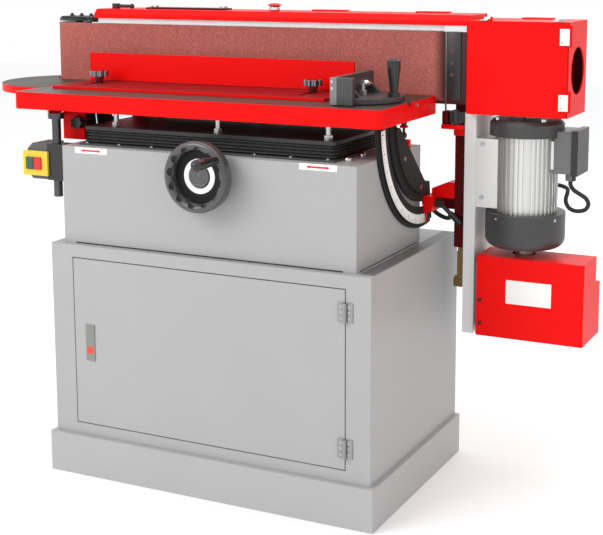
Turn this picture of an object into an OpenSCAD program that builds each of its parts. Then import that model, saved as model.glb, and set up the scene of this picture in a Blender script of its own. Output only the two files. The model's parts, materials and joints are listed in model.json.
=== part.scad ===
/* [Cabinet] */
// How much wider the plinth is than the lift housing
plinth_over = 85; // [70:1:110]
// Depth of the plinth
plinth_d = 510; // [504:1:520]
// Height of the plinth
plinth_h = 92; // [70:1:110]
// Step from the plinth's side to the cabinet's side
cab_side_inset = 10; // [6:1:14]
// Step from the plinth's front to the cabinet's front
cab_front_inset = 12; // [9:1:16]
// Depth of the cabinet
cab_d = 494; // [480:1:495]
// Height of the cabinet above the plinth
cab_h = 435; // [425:1:450]
// Sheet thickness of plinth and cabinet
sheet = 3; // [2:0.5:4]
// How much narrower the door is than the lift housing
door_under = 50; // [31:1:110]
// Height of the door
door_h = 377; // [330:1:390]
// Thickness of the folded door
door_t = 18; // [12:1:22]
// Gap round the door
door_gap = 2; // [1:0.5:3]

/* [Lift housing] */
// Width of the lift housing
lift_w = 711; // [705:1:720]
// Depth of the lift housing
lift_d = 340; // [335:1:345]
// Height of the lift housing
lift_h = 214; // [208:1:220]
// Wall of the lift housing
lift_wall = 6; // [4:1:8]
// Gap under the lift housing, bridged by its corner feet
lift_gap = 3; // [2:0.5:4]
// Outer radius of the trunnions
trunnion_r = 258; // [255:1:260]
// Thickness of the trunnions
trunnion_t = 10; // [10:0.5:11]
// Outer radius of the handwheel
wheel_r = 75; // [72:1:85]

/* [Table] */
// How much wider the table is than the lift housing
table_over = 191; // [182:1:197]
// Depth of the table
table_d = 315; // [310:1:325]
// Height of the table's red rim
rim_h = 38; // [36:1:40]
// Thickness of the rim's skirt
skirt_t = 6; // [4:0.5:7]
// Thickness of the polished table plate
plate_t = 12; // [11:0.5:13]
// Height of the table top above the lift housing
table_rise = 110; // [108:1:114]
// Radius of the end table
end_table_r = 170; // [160:1:175]
// Thickness of the end table
end_table_t = 18; // [14:1:20]

/* [Fence and mitre gauge] */
// Length of the fence
fence_l = 696; // [640:1:698]
// Depth of the fence's foot
fence_foot_d = 157; // [153:1:160]
// Height of the fence above the table
fence_h = 72; // [50:1:90]
// Sheet thickness of the fence
fence_t = 6; // [4:0.5:7]
// Width of the mitre slot
slot_w = 19; // [17:0.5:21]
// Length of the mitre gauge's face
mitre_face_l = 200; // [190:1:205]

/* [Belt and drums] */
// Width of the abrasive belt
belt_w = 150; // [145:1:152]
// Thickness of the abrasive belt
belt_t = 1.5; // [1:0.1:1.8]
// Radius of the belt round the drums
loop_r = 50; // [49:0.5:51]
// How much farther apart the two drums stand than the lift housing is wide
drum_over = 453; // [449:1:459]

/* [Head] */
// Width of the dust hood
hood_w = 219; // [210:1:230]
// Depth of the dust hood
hood_d = 140; // [138:1:150]
// Height of the dust hood
hood_h = 198; // [196:1:204]
// Radius of the dust port
port_r = 50; // [40:1:55]
// Radius of the motor body over its fins
motor_r = 68; // [65:1:72]
// Length of the finned motor body
motor_l = 166; // [160:1:170]
// Radius of the motor's end flange
flange_r = 79.5; // [76:0.5:82]
// Radius of the fan cowl
cowl_r = 86; // [82:1:88]
// Number of fins round the motor
fin_count = 40; // [30:1:44]

/* [Hidden] */
$fn = 48;
// Overrun of every cut
over = 1;
// Running clearance of shafts in bores
run = 0.05;
// Clearance of sliding pieces
slide = 0.1;
// Clearance between bodies that pass each other
pass = 0.3;

// Cabinet and door
plinth_w = lift_w + plinth_over;
cab_x = plinth_w / 2 - cab_side_inset;
cab_y0 = -plinth_d / 2 + cab_front_inset;
cab_y1 = cab_y0 + cab_d;
cab_z1 = plinth_h + cab_h;
ledge = 12;
door_sill = 28;
door_w = lift_w - door_under;
door_x0 = -door_w / 2;
door_x1 = door_w / 2;
door_z0 = plinth_h + door_sill;
door_z1 = door_z0 + door_h;
door_skin = 2;
hinge_pin_r = 2.5;
knuckle_r = 5;
leaf_t = 2;
leaf_w = 17;
leaf_h = 40;
hinge_inset = 46;
hinge_x = door_x1 + door_gap / 2;
hinge_y = cab_y0 - knuckle_r - pass;
hinge_zs = [door_z0 + hinge_inset, door_z1 - hinge_inset];
leaf_screw_r = 2.6;
leaf_screw_h = 1.2;
latch_w = 23;
latch_h = 82;
latch_d = 26;
latch_proud = 2;
latch_inset = 41;
latch_up = 188;
latch_x = door_x0 + latch_inset;
latch_z = door_z0 + latch_up;
latch_neck = 1;
latch_button_w = 16;
latch_button_h = 16;
latch_button_drop = 17;
latch_button_l = 10;
latch_travel = 3;
latch_button_z = latch_z - latch_button_drop;

// Lift housing
lift_off = -7.5;
lift_setback = 17;
lift_x0 = lift_off - lift_w / 2;
lift_x1 = lift_off + lift_w / 2;
lift_y0 = cab_y0 + lift_setback;
lift_y1 = lift_y0 + lift_d;
lift_z0 = cab_z1 + lift_gap;
lift_z1 = lift_z0 + lift_h;
foot_l = 30;
foot_w = 16;

// Belt plane and tilt axis
belt_behind = 4;
belt_y = lift_y1 + belt_behind;
table_top_z = lift_z1 + table_rise;
pivot_drop = 34;
pivot_y = belt_y;
pivot_z = table_top_z - pivot_drop;
belt_above_pivot = 23;
belt_z0 = pivot_z + belt_above_pivot;
belt_z1 = belt_z0 + belt_w;
axis_y = belt_y + loop_r;
drive_out = 224;
drive_x = lift_x1 + drive_out;
drum_span = lift_w + drum_over;
idler_x = drive_x - drum_span;
drum_r = loop_r - belt_t - pass;

// Trunnions
trunnion_a0 = 180.5;
trunnion_a1 = 280;
band_w = 9;
band_drop = 4;
scale_w = 20;
scale_gap = 1;
scale_t = 0.8;
scale_a0 = 184;
scale_a1 = 272;
scale_r1 = trunnion_r - band_w - scale_gap;
scale_r0 = scale_r1 - scale_w;
slot_inset = 52;
slot_r = trunnion_r - slot_inset;
slot_hw = 6;
tee_hw = 10;
tee_depth = 5;
slot_a0 = 182.4;
slot_a1 = 276.6;
tee_a0 = 181.2;
tee_a1 = 278;
segment_inset = 78;
segment_r = trunnion_r - segment_inset;
segment_proud = 6;
segment_a0 = 187;
segment_a1 = 267;
chord_shares = [[-0.66, -0.04], [-0.03, -0.62]];
chord_end_shares = [0.3, 0.1];
trunnion_screw_r = 5;
trunnion_screw_h = 3;
screw_at_shares = [[-0.53, -0.34], [-0.165, -0.63]];
dome_r = 8;
dome_base = 2;
dome_in = 47;
dome_ins = [61, 131];
dome_x = lift_x1 - dome_in;
dome_ys = [for (d = dome_ins) lift_y0 + d];

// Table lift
wheel_x = 8;
wheel_drop = 38;
wheel_z = lift_z1 - wheel_drop;
wheel_front = 57;
wheel_rim_w = 32;
wheel_rim_r = 9;
wheel_hub_r = 19;
wheel_hub_in = 22;
wheel_web_in = 24;
wheel_web_t = 8;
wheel_lobes = 12;
wheel_lobe_r = 9;
wheel_lobe_d = 12;
wheel_y = lift_y0 - wheel_front;
shaft_r = 9;
shaft_depth = 15;
bush_r = 17;
bush_flange_r = 22;
bush_flange_t = 5;
bush_l = 24;
bush_seat = 0.2;
grip_angle = 37;
grip_at = 66;
grip_l = 84;
grip_r0 = 8;
grip_r1 = 12;
grip_swell_share = 0.7;
grip_cap_r = 7;
grip_cap_l = 6;
grip_stud_r = 4;
grip_stud_l = 22;
lift_axis_in = 156;
lift_y = lift_y0 + lift_axis_in;
gear_w = 80;
gear_h = 70;
gear_z0 = lift_z1 - lift_wall - gear_h;
screw_r = 10;
screw_depth = 22;
screw_above = 15;
screw_z0 = lift_z0 + screw_above;
yoke_above = 30;
yoke_z0 = lift_z0 + yoke_above;
yoke_h = 26;
yoke_hw = 25;
yoke_over = 23;
post_r = 15;
post_in_left = 141;
post_in_right = 140;
post_xs = [lift_x0 + post_in_left, lift_x1 - post_in_right];
post_bush_r = 20;
post_bush_flange_r = 27;
post_bush_flange_t = 4;

// Bellows
flange_in_left = 27;
flange_in_right = 60;
flange_in_front = 26;
flange_in_rear = 30;
flange_x0 = lift_x0 + flange_in_left;
flange_x1 = lift_x1 - flange_in_right;
flange_y0 = lift_y0 + flange_in_front;
flange_y1 = lift_y1 - flange_in_rear;
flange_t = 4;
flange_corner = 8;
flange_step = 6;
flange_front = 12;
bellows_x0 = flange_x0 + flange_step;
bellows_x1 = flange_x1 - flange_step;
bellows_y0 = flange_y0 + flange_front;
bellows_y1 = flange_y1 - flange_step;
bellows_h = 28;
pleat_d = 9;
pleats = 3;
bellows_wall = 2;
bellows_rim = 14;
flange_screws = 8;
flange_screw_r = 4;
flange_screw_h = 2.5;
flange_screw_inset = 6;
flange_screw_end = 18;

// Table
table_left = 152;
table_w = lift_w + table_over;
table_gap = 3;
table_x0 = lift_x0 - table_left;
table_x1 = table_x0 + table_w;
table_y1 = belt_y - table_gap;
table_y0 = table_y1 - table_d;
table_z0 = table_top_z - rim_h;
table_corner = 15;
plate_edge = 3;
plate_fit = 0.2;
web_h = 6;
plate_z0 = table_top_z - plate_t;
web_z0 = plate_z0 - web_h;
hanger_out = 47;
hanger_over = 10;
hanger_x0 = lift_x0 - hanger_out;
hanger_x1 = lift_x0 + hanger_over;
hanger_in = 70;
hanger_y = lift_y0 + hanger_in;
hanger_t = 8;
hanger_above = 4;
beam_t = 8;
beam_z0 = lift_z1 + flange_t + bellows_h + pass;
beam_z1 = beam_z0 + beam_t;
jack_r = 6;
jack_fit = 0.2;
nut_r = 10;
nut_h = 8;
jack_in_left = 66;
jack_in_right = 38;
jack_in_front = 50;
jack_in_rear = 75;
jack_x0 = flange_x0 + jack_in_left;
jack_x1 = flange_x1 - jack_in_right;
jack_xs = [jack_x0, (jack_x0 + jack_x1) / 2, jack_x1];
jack_ys = [table_y0 + jack_in_front, table_y1 - jack_in_rear];

// Knobs on the table
knob_stud_r = 5;
knob_shank_r0 = 8;
knob_shank_r1 = 12;
knob_shank_h = 15;
knob_top_r = 17;
knob_top_h = 13;
knob_lobes = 8;
knob_lobe_r = 5;
fence_x0 = -480;
fence_x1 = fence_x0 + fence_l;
fence_back = 58;
fence_rear = table_y1 - fence_back;
fence_knob_in_left = 58;
fence_knob_in_right = 77;
fence_knob_back = 52;
fence_knob_xs = [fence_x0 + fence_knob_in_left, fence_x1 - fence_knob_in_right];
fence_knob_y = fence_rear - fence_knob_back;
star_core_r = 10;
star_h = 20;
star_stud_r = 4;
star_lobe_r = 4.5;
star_lobes = 7;
post_knob_in = 2;
post_knob_x = lift_x0 + post_knob_in;
post_knob_up = 44;
post_knob_z = lift_z1 + post_knob_up;

// Fence
fence_z0 = table_top_z + pass;
fence_slot_hw = 5.5;
fence_slot_rear = 28;
fence_slot_l = 84;
fence_slot_y1 = fence_rear - fence_slot_rear;
fence_slot_y0 = fence_slot_y1 - fence_slot_l;

// Mitre gauge
mitre_in = 155;
mitre_y = table_y0 + mitre_in;
slot_depth = 8;
mitre_after = 64;
mitre_bar_before = 65;
mitre_bar_after = 95;
mitre_pivot_x = fence_x1 + mitre_after;
mitre_bar_x0 = mitre_pivot_x - mitre_bar_before;
mitre_bar_x1 = mitre_pivot_x + mitre_bar_after;
mitre_pin_r = 5;
mitre_lift = 2;
mitre_spacer_r = 12;
mitre_base_r = 100;
mitre_base_t = 10;
mitre_face_before = 22;
mitre_face_x = mitre_pivot_x - mitre_face_before;
mitre_face_t = 10;
mitre_face_h = 55;
mitre_face_front = 115;
mitre_lug_w = 40;
mitre_lug_t = 14;
mitre_web_t = 8;
mitre_web_l = 42;
mitre_web_at = 52;
mitre_arc_r = 70;
mitre_arc_hw = 5.4;
mitre_arc_a = 27;
mitre_nut_h = 10;
mitre_nut_r = 9;
mitre_stud_top = 14;
mitre_collar_r = 12;
mitre_collar_h = 8;
mitre_grip_h = 70;
mitre_grip_r0 = 8;
mitre_grip_r1 = 14;
mitre_grip_top = 4;
mitre_swell_share = 0.75;
mitre_z0 = table_top_z + mitre_lift;

// End table
end_in = 47;
end_fore = 98;
end_x = idler_x + end_in;
end_y = axis_y - end_fore;
end_gap = 4;
end_clear = 8;
end_cut_r = loop_r + end_clear;
end_post_out = 29;
end_post_in = 20;
end_post_x = lift_x0 - end_post_out;
end_post_y = lift_y0 + end_post_in;
end_post_r = 10;
end_post_below = 38;
end_arm_w = 30;
end_eye_r = 18;
end_arm_t = 12;
end_arm_drop = 4;
end_boss_fore = 90;
end_boss_x = end_x;
end_boss_y = end_y - end_boss_fore;
end_boss_r = 22;
end_arm_z1 = table_z0 - end_arm_drop;
end_arm_z0 = end_arm_z1 - end_arm_t;

// Switch and post clamp
clamp_w = 45;
clamp_in = 4;
clamp_x0 = lift_x0 - clamp_w;
clamp_y0 = lift_y0 + clamp_in;
clamp_d = 38;
clamp_h = 81;
switch_w = 54;
switch_x0 = clamp_x0 - switch_w;
switch_y0 = clamp_y0;
switch_d = 62;
switch_h = 80;
switch_chamfer = 14;
switch_plate_side = 8;
switch_plate_lap = 4;
switch_plate_x0 = switch_x0 - switch_plate_side;
switch_plate_x1 = clamp_x0 + switch_plate_lap;
switch_plate_t = 6;
switch_plate_h = 55;
switch_plate_drop = 17;
button_w = 19;
button_h = 27;
button_gap = 2;
button_in = 2;
button_x0 = switch_x0 + button_in;
button_drop = 14;
button_proud = 4;
button_l = 16;
button_well = 12;
switch_z1 = lift_z1;
switch_plate_z1 = switch_z1 - switch_plate_drop;
button_z1 = switch_plate_z1 - button_drop;

// Tilting frame
bolt_back = 16;
bolt_y = pivot_y + bolt_back;
bolt_z = pivot_z - sqrt(slot_r * slot_r - bolt_back * bolt_back);
block_gap = 1;
block_t = 20;
block_front = 12;
block_rear = 32;
block_h = 34;
bolt_r = 5.5;
bolt_head_r = 9;
bolt_head_t = 4;
stub_r = 6;
stub_l = 16;
pointer_w = 8;
pointer_h = 26;
pointer_t = 3;
pointer_gap = 1.5;
face_right = lift_x1 + trunnion_t;
face_left = lift_x0 - trunnion_t;
column_out = 72;
column_x0 = lift_x1 + column_out;
column_w = 35;
column_front = 20;
column_d = 36;
column_below = 97;
column_gap = 5;
column_y0 = pivot_y + column_front;
column_z0 = bolt_z - column_below;
column_z1 = belt_z0 - column_gap;
arm_in = 8;
arm_d = 20;
arm_down = 15;
arm_h = 45;
left_arm_t = 26;
left_arm_d = 36;
left_arm_front = 18;
rod_r = 12;
rod_short = 8;
left_arm_x1 = face_left - block_gap - block_t;
rod_right = [column_x0 + column_w / 2, column_y0 + column_d / 2];
rod_left = [left_arm_x1 - left_arm_t / 2, pivot_y + left_arm_front + left_arm_d / 2];
link_nut_r = 14;
link_nut_h = 12;
link_w = 24;
link_d = 20;
link_h = 64;
link_eye_r = 13;
link_eye_side = 2;
link_eye_x0 = column_x0 - link_eye_side;
link_eye_x1 = column_x0 + column_w;
link_eye_drop = 81;
link_eye_z = column_z0 - link_eye_drop;
lever_hub_r = 10;
lever_hub_l = 16.5;
lever_r = 5;
lever_l = 67;
lever_grip_r = 7;
lever_grip_l = 34;
lever_splay = 50;
lever_lean = 8.5;

// Platen
platen_clear = 72;
platen_past = 1;
platen_x0 = idler_x + platen_clear;
platen_x1 = column_x0 + column_w + platen_past;
platen_t = 10;
platen_below = 7;
platen_y0 = belt_y + belt_t + pass;
platen_y1 = platen_y0 + platen_t;
strip_back = 20;
strip_short = 4;
strip_x0 = platen_x0 + strip_back;
strip_x1 = platen_x1 - strip_short;
strip_d = 94;
strip_h = 12;
strip_gap = 1;
strip_z0 = belt_z1 + strip_gap;
strip_z1 = strip_z0 + strip_h;
bush_hw = 18.5;
bush_rear = 26;
bush_low_at = 7;
bush_low_h = 22;
bush_high_h = 32;
guide_in = 15;
guide_w = 60;
guide_x0 = platen_x0 + guide_in;
guide_x1 = guide_x0 + guide_w;
guide_wall = 10;
guard_w = 50;
guard_fore = 8;
guard_x1 = strip_x1;
guard_x0 = guard_x1 - guard_w;
guard_y0 = belt_y - guard_fore;
guard_t = 4;
guard_up = 3;

// Belt cover
cover_x0 = guide_x0;
cover_front = 10;
cover_bevel = 12;
cover_h = 22;
cover_t = 3;
cover_rear = 6;
cover_stud_r = 5;
cover_y0 = belt_y - cover_front;
cover_y1 = axis_y + loop_r + cover_rear;
cover_z1 = strip_z1 + cover_h;
stud_depth = 8;
tension_in = 37;
tension_fore = 18;
tension_x = cover_x0 + tension_in;
tension_y = axis_y - tension_fore;
tension_hub_r = 10;
tension_hub_h = 12;
tension_arm_l = 46;
tension_arm_r = 4;
tension_ball_r = 6;
cover_knob_along = 439;
cover_knob_x = tension_x + cover_knob_along;
cover_knob_y = tension_y;
cover_knob_r = 13;
cover_knob_h = 12;
cover_knob_edge = 3;

// Idler
axle_r = 10;
top_disc_r = 49;
disc_t = 6;
top_disc_gap = 4;
low_disc_r = 24;
low_disc_gap = 8;
carriage_off = 51;
carriage_t = 8;
carriage_hw = 28;
carriage_y0 = axis_y - carriage_hw;
carriage_y1 = axis_y + carriage_hw;
tongue_past = 5;
tongue_hw = 16;
tongue_x1 = guide_x1 + tongue_past;
tongue_y0 = axis_y - tongue_hw;
tongue_y1 = axis_y + tongue_hw;
tongue_up = 57;
tongue_h = 30;
tongue_z0 = belt_z0 + tongue_up;
tongue_z1 = tongue_z0 + tongue_h;
carriage_z0 = belt_z0 - low_disc_gap - disc_t;
carriage_z1 = belt_z1 + top_disc_gap + disc_t;
carriage_x0 = idler_x + carriage_off;
carriage_x1 = carriage_x0 + carriage_t;

// Dust hood
hood_gap = 3;
hood_x0 = platen_x1 + hood_gap;
hood_front = 22;
hood_below = 23;
hood_t = 2.5;
hood_x1 = hood_x0 + hood_w;
hood_y0 = belt_y - hood_front;
hood_y1 = hood_y0 + hood_d;
hood_z0 = belt_z0 - hood_below;
hood_z1 = hood_z0 + hood_h;
mouth_front = 12;
mouth_rear = 10;
mouth_below = 7;
port_collar_t = 3;
port_collar_l = 20;
port_drop = 104;
port_z = hood_z1 - port_drop;
shaft_hole_r = 14;
hood_pin_r = 2.5;
hood_barrel_r = 4.5;
hood_barrel_h = 18;
hood_lug_h = 13;
hood_hinge_out = 3;
hood_hinge_front = 4;
hood_hinge_x = hood_x1 + hood_hinge_out;
hood_hinge_y = hood_y0 - hood_hinge_front;
hood_hinge_low = 35;
hood_hinge_high = 28;
hood_hinge_zs = [hood_z0 + hood_hinge_low, hood_z1 - hood_hinge_high];
hood_lug_in = 2;
hood_door_t = 2.7;
hood_door_short = 2;
hood_tab_l = 24;
hood_tab_t = 2;
toggle_in = 31;
toggle_w = 14;
toggle_x0 = hood_x0 + toggle_in;
toggle_x1 = toggle_x0 + toggle_w;
toggle_l = 24;
toggle_t = 3;
toggle_back = 16;
toggle_up = 4;
toggle_pin_r = 2;
toggle_barrel_r = 3.5;
toggle_ear_t = 3.5;
toggle_ear_d = 10;
toggle_y = hood_y0 + toggle_back;
toggle_z = hood_z1 + toggle_up;

// Motor and drive
channel_in = 7;
channel_fore = 48;
channel_rear = 72;
channel_x0 = hood_x0 + channel_in;
channel_t = 8;
channel_y0 = axis_y - channel_fore;
channel_y1 = axis_y + channel_rear;
channel_low = 489;
lip_t = 4;
lip_w = 18;
channel_x1 = channel_x0 + channel_t;
channel_z0 = hood_z0 - channel_low;
motor_drop = 47;
motor_z1 = hood_z0 - motor_drop;
motor_z0 = motor_z1 - motor_l;
fin_h = 6;
fin_t = 3;
fin_root = 20;
motor_core_r = motor_r - fin_h;
foot_out = 54;
foot_hw = 46;
foot_x1 = channel_x1 + foot_out;
foot_y0 = axis_y - foot_hw;
foot_y1 = axis_y + foot_hw;
foot_inset = 8;
pad_out = 68;
pad_x1 = drive_x + pad_out;
pad_hw = 28;
pad_low = 98;
pad_h = 60;
flange_h = 35;
flange_edge = 8;
cowl_h = 77;
cowl_t = 2.5;
cowl_round = 22;
cowl_hole_r = 26;
fan_r = 72;
fan_h = 15;
fan_up = 15;
coupling_r = 20;
coupling_h = 25;
coupling_down = 33;
shaft_down = 60;
shaft_up = 7;
term_w = 52;
term_fore = 30;
term_y0 = axis_y - term_fore;
term_d = 84;
term_low = 90;
term_h = 90;
term_lid = 14;
term_lid_edge = 3;
gland_out = 100;
gland_fore = 8;
gland_x = drive_x + gland_out;
gland_y = axis_y - gland_fore;
gland_r = 11;
gland_l = 16;
term_z0 = motor_z0 + term_low;
case_out = 78;
case_fore = 43;
case_x1 = drive_x + case_out;
case_y0 = axis_y - case_fore;
case_d = 75;
case_h = 140;
case_below_cowl = 40;
crank_r = 8;
crank_out = 8;
crank_x0 = channel_x0 - crank_out;
crank_clear = 3;
case_z1 = motor_z0 - cowl_h - case_below_cowl;
case_z0 = case_z1 - case_h;
guard_box_in = 11;
guard_box_out = 150;
guard_box_fore = 64;
guard_box_mid = 37;
guard_box_x0 = channel_x1 + guard_box_in;
guard_box_x1 = drive_x + guard_box_out;
guard_box_y0 = axis_y - guard_box_fore;
guard_box_y1 = channel_y1;
guard_box_y2 = axis_y + guard_box_mid;
guard_box_t = 2;
guard_box_above = 22;
guard_box_h = 178;
guard_box_step = 116;
guard_box_z1 = case_z1 + guard_box_above;
guard_box_z0 = guard_box_z1 - guard_box_h;
guard_hole_r = 26;
guard_bolt_in = 8;
guard_bolt_x = guard_box_x0 + guard_bolt_in;
guard_bolt_r = 3;
guard_bolt_head_r = 6;
guard_bolt_head_t = 2;
guard_bolt_ups = [39, 130];

// Cables
motor_cable_r = 4.5;
tilt_cable_r = 5;
cable_sides = 8;
gland_end = [gland_x, gland_y, term_z0 - gland_l];
tilt_exit_in = 30;
tilt_exit_gap = 0.5;
tilt_exit_up = 25.4;
tilt_exit = [lift_x1 - tilt_exit_in, lift_y1 + tilt_exit_gap, bolt_z + tilt_exit_up];
motor_cable_steps = [
    [0, 0, 0], [0, 0, -9], [8, -4, -19], [22, -8, -26], [36, -10, -34], [42, -10, -46], [36, -10, -58],
    [22, -8, -63], [8, -4, -63], [-4, 4, -59], [-13, 16, -51], [-17, 30, -43], [-19, 48, -36], [-24, 66, -31],
    [-36, 82, -29], [-54, 93, -28], [-76, 101, -29], [-100, 104, -30], [-126, 101, -33], [-150, 95, -37],
    [-168, 84, -45], [-178, 72, -54], [-188, 62, -61], [-197.6, 62, -61]];
tilt_cable_steps = [
    [0, 0, 0], [0, 15.5, 0], [4, 35.5, -8], [14, 51.5, -24], [28, 61.5, -42], [42, 64.5, -56], [58, 62.5, -64],
    [74, 56.5, -66], [84, 48.5, -62], [92, 41.5, -57], [101.6, 41.5, -57]];
motor_cable_route = [for (p = motor_cable_steps) gland_end + p];
tilt_cable_route = [for (p = tilt_cable_steps) tilt_exit + p];

// Box between two corners
module span(a, b) {
    translate(a) cube(b - a);
}

// Round bar along X
module bar_x(r, x0, x1, y, z) {
    translate([x0, y, z]) rotate([0, 90, 0]) cylinder(h = x1 - x0, r = r);
}

// Round bar along Y
module bar_y(r, y0, y1, x, z) {
    translate([x, y1, z]) rotate([90, 0, 0]) cylinder(h = y1 - y0, r = r);
}

// Round bar along Z
module bar_z(r, z0, z1, x, y) {
    translate([x, y, z0]) cylinder(h = z1 - z0, r = r);
}

// Rectangle with round corners between two corners
module round_rect(a, b, r) {
    translate([a[0] + r, a[1]]) square([b[0] - a[0] - 2 * r, b[1] - a[1]]);
    translate([a[0], a[1] + r]) square([b[0] - a[0], b[1] - a[1] - 2 * r]);
    for (x = [a[0] + r, b[0] - r], y = [a[1] + r, b[1] - r])
        translate([x, y]) circle(r);
}

// Upright block with round corners
module round_block(a, b, r, z0, z1) {
    translate([0, 0, z0]) linear_extrude(z1 - z0) round_rect(a, b, r);
}

// Knob outline with finger lobes
module lobed(r, lobes, lobe_r) {
    circle(r);
    for (i = [0:lobes - 1])
        rotate(i * 360 / lobes) translate([r, 0]) circle(lobe_r);
}

// Part of a ring about the tilt axis, seen from +X with Y to the right and Z up
module ring_sector(r0, r1, a0, a1, x0, x1) {
    translate([x0, pivot_y, pivot_z]) rotate([90, 0, 90]) rotate(a0) rotate_extrude(angle = a1 - a0)
        translate([r0, 0]) square([r1 - r0, x1 - x0]);
}

// Direction of a cable's route and the corners round each place of it, carried on without a twist
function unit(v) = v / norm(v);
function along(p, i) = unit(p[min(i + 1, len(p) - 1)] - p[max(i - 1, 0)]);
function across(p, i) = i == 0 ? unit(cross(along(p, 0), [1, 0, 0])) : carried(across(p, i - 1), along(p, i));
function carried(s, t) = unit(s - (s * t) * t);
function ring_at(p, i, r, n) = let (s = across(p, i), u = cross(along(p, i), s))
    [for (k = [0:n - 1]) p[i] + r * (cos(360 * k / n) * s + sin(360 * k / n) * u)];

// One closed tube along a route
module tube(route, r, n) {
    m = len(route);
    points = [for (i = [0:m - 1]) each ring_at(route, i, r, n)];
    walls = [for (i = [0:m - 2], k = [0:n - 1]) let (a = i * n + k, b = i * n + (k + 1) % n)
        each [[a, a + n, b], [b, a + n, b + n]]];
    first = [for (k = [1:n - 2]) [0, k, k + 1]];
    last = [for (k = [1:n - 2]) [(m - 1) * n, (m - 1) * n + k + 1, (m - 1) * n + k]];
    polyhedron(points = points, faces = concat(walls, first, last));
}

module plinth() {
    color("lightgray") difference() {
        span([-plinth_w / 2, -plinth_d / 2, 0], [plinth_w / 2, plinth_d / 2, plinth_h]);
        span([-plinth_w / 2 + sheet, -plinth_d / 2 + sheet, sheet],
            [plinth_w / 2 - sheet, plinth_d / 2 - sheet, plinth_h - sheet]);
        span([-cab_x + ledge, cab_y0 + ledge, plinth_h - sheet - over],
            [cab_x - ledge, cab_y1 - ledge, plinth_h + over]);
    }
}

module cabinet() {
    color("lightgray") difference() {
        span([-cab_x, cab_y0, plinth_h], [cab_x, cab_y1, cab_z1]);
        span([-cab_x + sheet, cab_y0 + sheet, plinth_h + sheet],
            [cab_x - sheet, cab_y1 - sheet, cab_z1 - sheet]);
        span([door_x0 - door_gap, cab_y0 - over, door_z0 - door_gap],
            [door_x1 + door_gap, cab_y0 + sheet + over, door_z1 + door_gap]);
    }
}

// Hinge leaf to the right of the hinge axis, with knuckles at the given z spans
module leaf(spans) {
    y1 = cab_y0 - hinge_y;
    y0 = y1 - leaf_t;
    span([knuckle_r + pass, y0, -leaf_h / 2], [leaf_w, y1, leaf_h / 2]);
    for (s = spans) {
        span([0, y0, s[0]], [knuckle_r + pass + over, y1, s[1]]);
        bar_z(knuckle_r, s[0], s[1], 0, 0);
    }
    for (k = [-1:1])
        translate([(leaf_w + knuckle_r) / 2, y0, k * leaf_h / 3]) rotate([90, 0, 0])
            cylinder(h = leaf_screw_h, r1 = leaf_screw_r, r2 = leaf_screw_r / 2);
}

module door_hinges() {
    color("silver") for (z = hinge_zs) translate([hinge_x, hinge_y, z]) {
        leaf([[-leaf_h / 2, -leaf_h / 6 - pass], [leaf_h / 6 + pass, leaf_h / 2]]);
        bar_z(hinge_pin_r, -leaf_h / 2, leaf_h / 2, 0, 0);
    }
}

module door_leaves() {
    color("silver") for (z = hinge_zs) translate([hinge_x, hinge_y, z]) difference() {
        mirror([1, 0, 0]) leaf([[-leaf_h / 6, leaf_h / 6]]);
        bar_z(hinge_pin_r + run, -leaf_h, leaf_h, 0, 0);
    }
}

module door_panel() {
    color("lightgray") difference() {
        span([door_x0, cab_y0, door_z0], [door_x1, cab_y0 + door_t, door_z1]);
        span([door_x0 + door_skin, cab_y0 + door_skin, door_z0 + door_skin],
            [door_x1 - door_skin, cab_y0 + door_t + over, door_z1 - door_skin]);
        latch_box(latch_neck, cab_y0 - over, cab_y0 + door_t);
    }
}

// Upright box of the latch's outline, drawn in by t
module latch_box(t, y0, y1) {
    span([latch_x - latch_w / 2 + t, y0, latch_z - latch_h / 2 + t],
        [latch_x + latch_w / 2 - t, y1, latch_z + latch_h / 2 - t]);
}

// The latch button's outline, grown by t
module button_box(t, y0, y1) {
    span([latch_x - latch_button_w / 2 - t, y0, latch_button_z - latch_button_h / 2 - t],
        [latch_x + latch_button_w / 2 + t, y1, latch_button_z + latch_button_h / 2 + t]);
}

module latch_case() {
    y0 = cab_y0 - latch_proud;
    color("gray") difference() {
        union() {
            latch_box(0, y0, cab_y0);
            latch_box(2 * latch_neck, y0, cab_y0 + latch_d);
        }
        button_box(slide, y0 - over, y0 + latch_button_l + latch_travel + pass);
    }
}

module latch_button() {
    y0 = cab_y0 - latch_proud;
    color("orangered") button_box(0, y0, y0 + latch_button_l);
}

module lift_housing() {
    color("darkgray") difference() {
        union() {
            span([lift_x0, lift_y0, lift_z0], [lift_x1, lift_y1, lift_z1]);
            for (x = [lift_x0, lift_x1 - foot_l], y = [lift_y0, lift_y1 - foot_w])
                span([x, y, cab_z1], [x + foot_l, y + foot_w, lift_z0 + over]);
        }
        span([lift_x0 + lift_wall, lift_y0 + lift_wall, cab_z1 - over],
            [lift_x1 - lift_wall, lift_y1 - lift_wall, lift_z1 - lift_wall]);
        bar_y(bush_r + bush_seat, lift_y0 - over, lift_y0 + lift_wall + over, wheel_x, wheel_z);
        for (x = post_xs)
            bar_z(post_bush_r + bush_seat, lift_z1 - lift_wall - over, lift_z1 + over, x, lift_y);
    }
}

// Sector of the given radius about the tilt axis, cut off along the trunnion's chord
module trunnion_plate(r, a0, a1, x0, x1) {
    far = 2 * trunnion_r;
    c0 = chord_shares[0];
    c1 = chord_shares[1];
    end = chord_end_shares;
    translate([x0, pivot_y, pivot_z]) rotate([90, 0, 90]) linear_extrude(x1 - x0) difference() {
        circle(r);
        polygon([[0, 0], far * [cos(a0), sin(a0)], [-far, far], [far, far], [far, -far], far * [cos(a1), sin(a1)]]);
        polygon(trunnion_r * [c0, [c0[0], end[1]], end, [end[0], c1[1]], c1]);
    }
}

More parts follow.
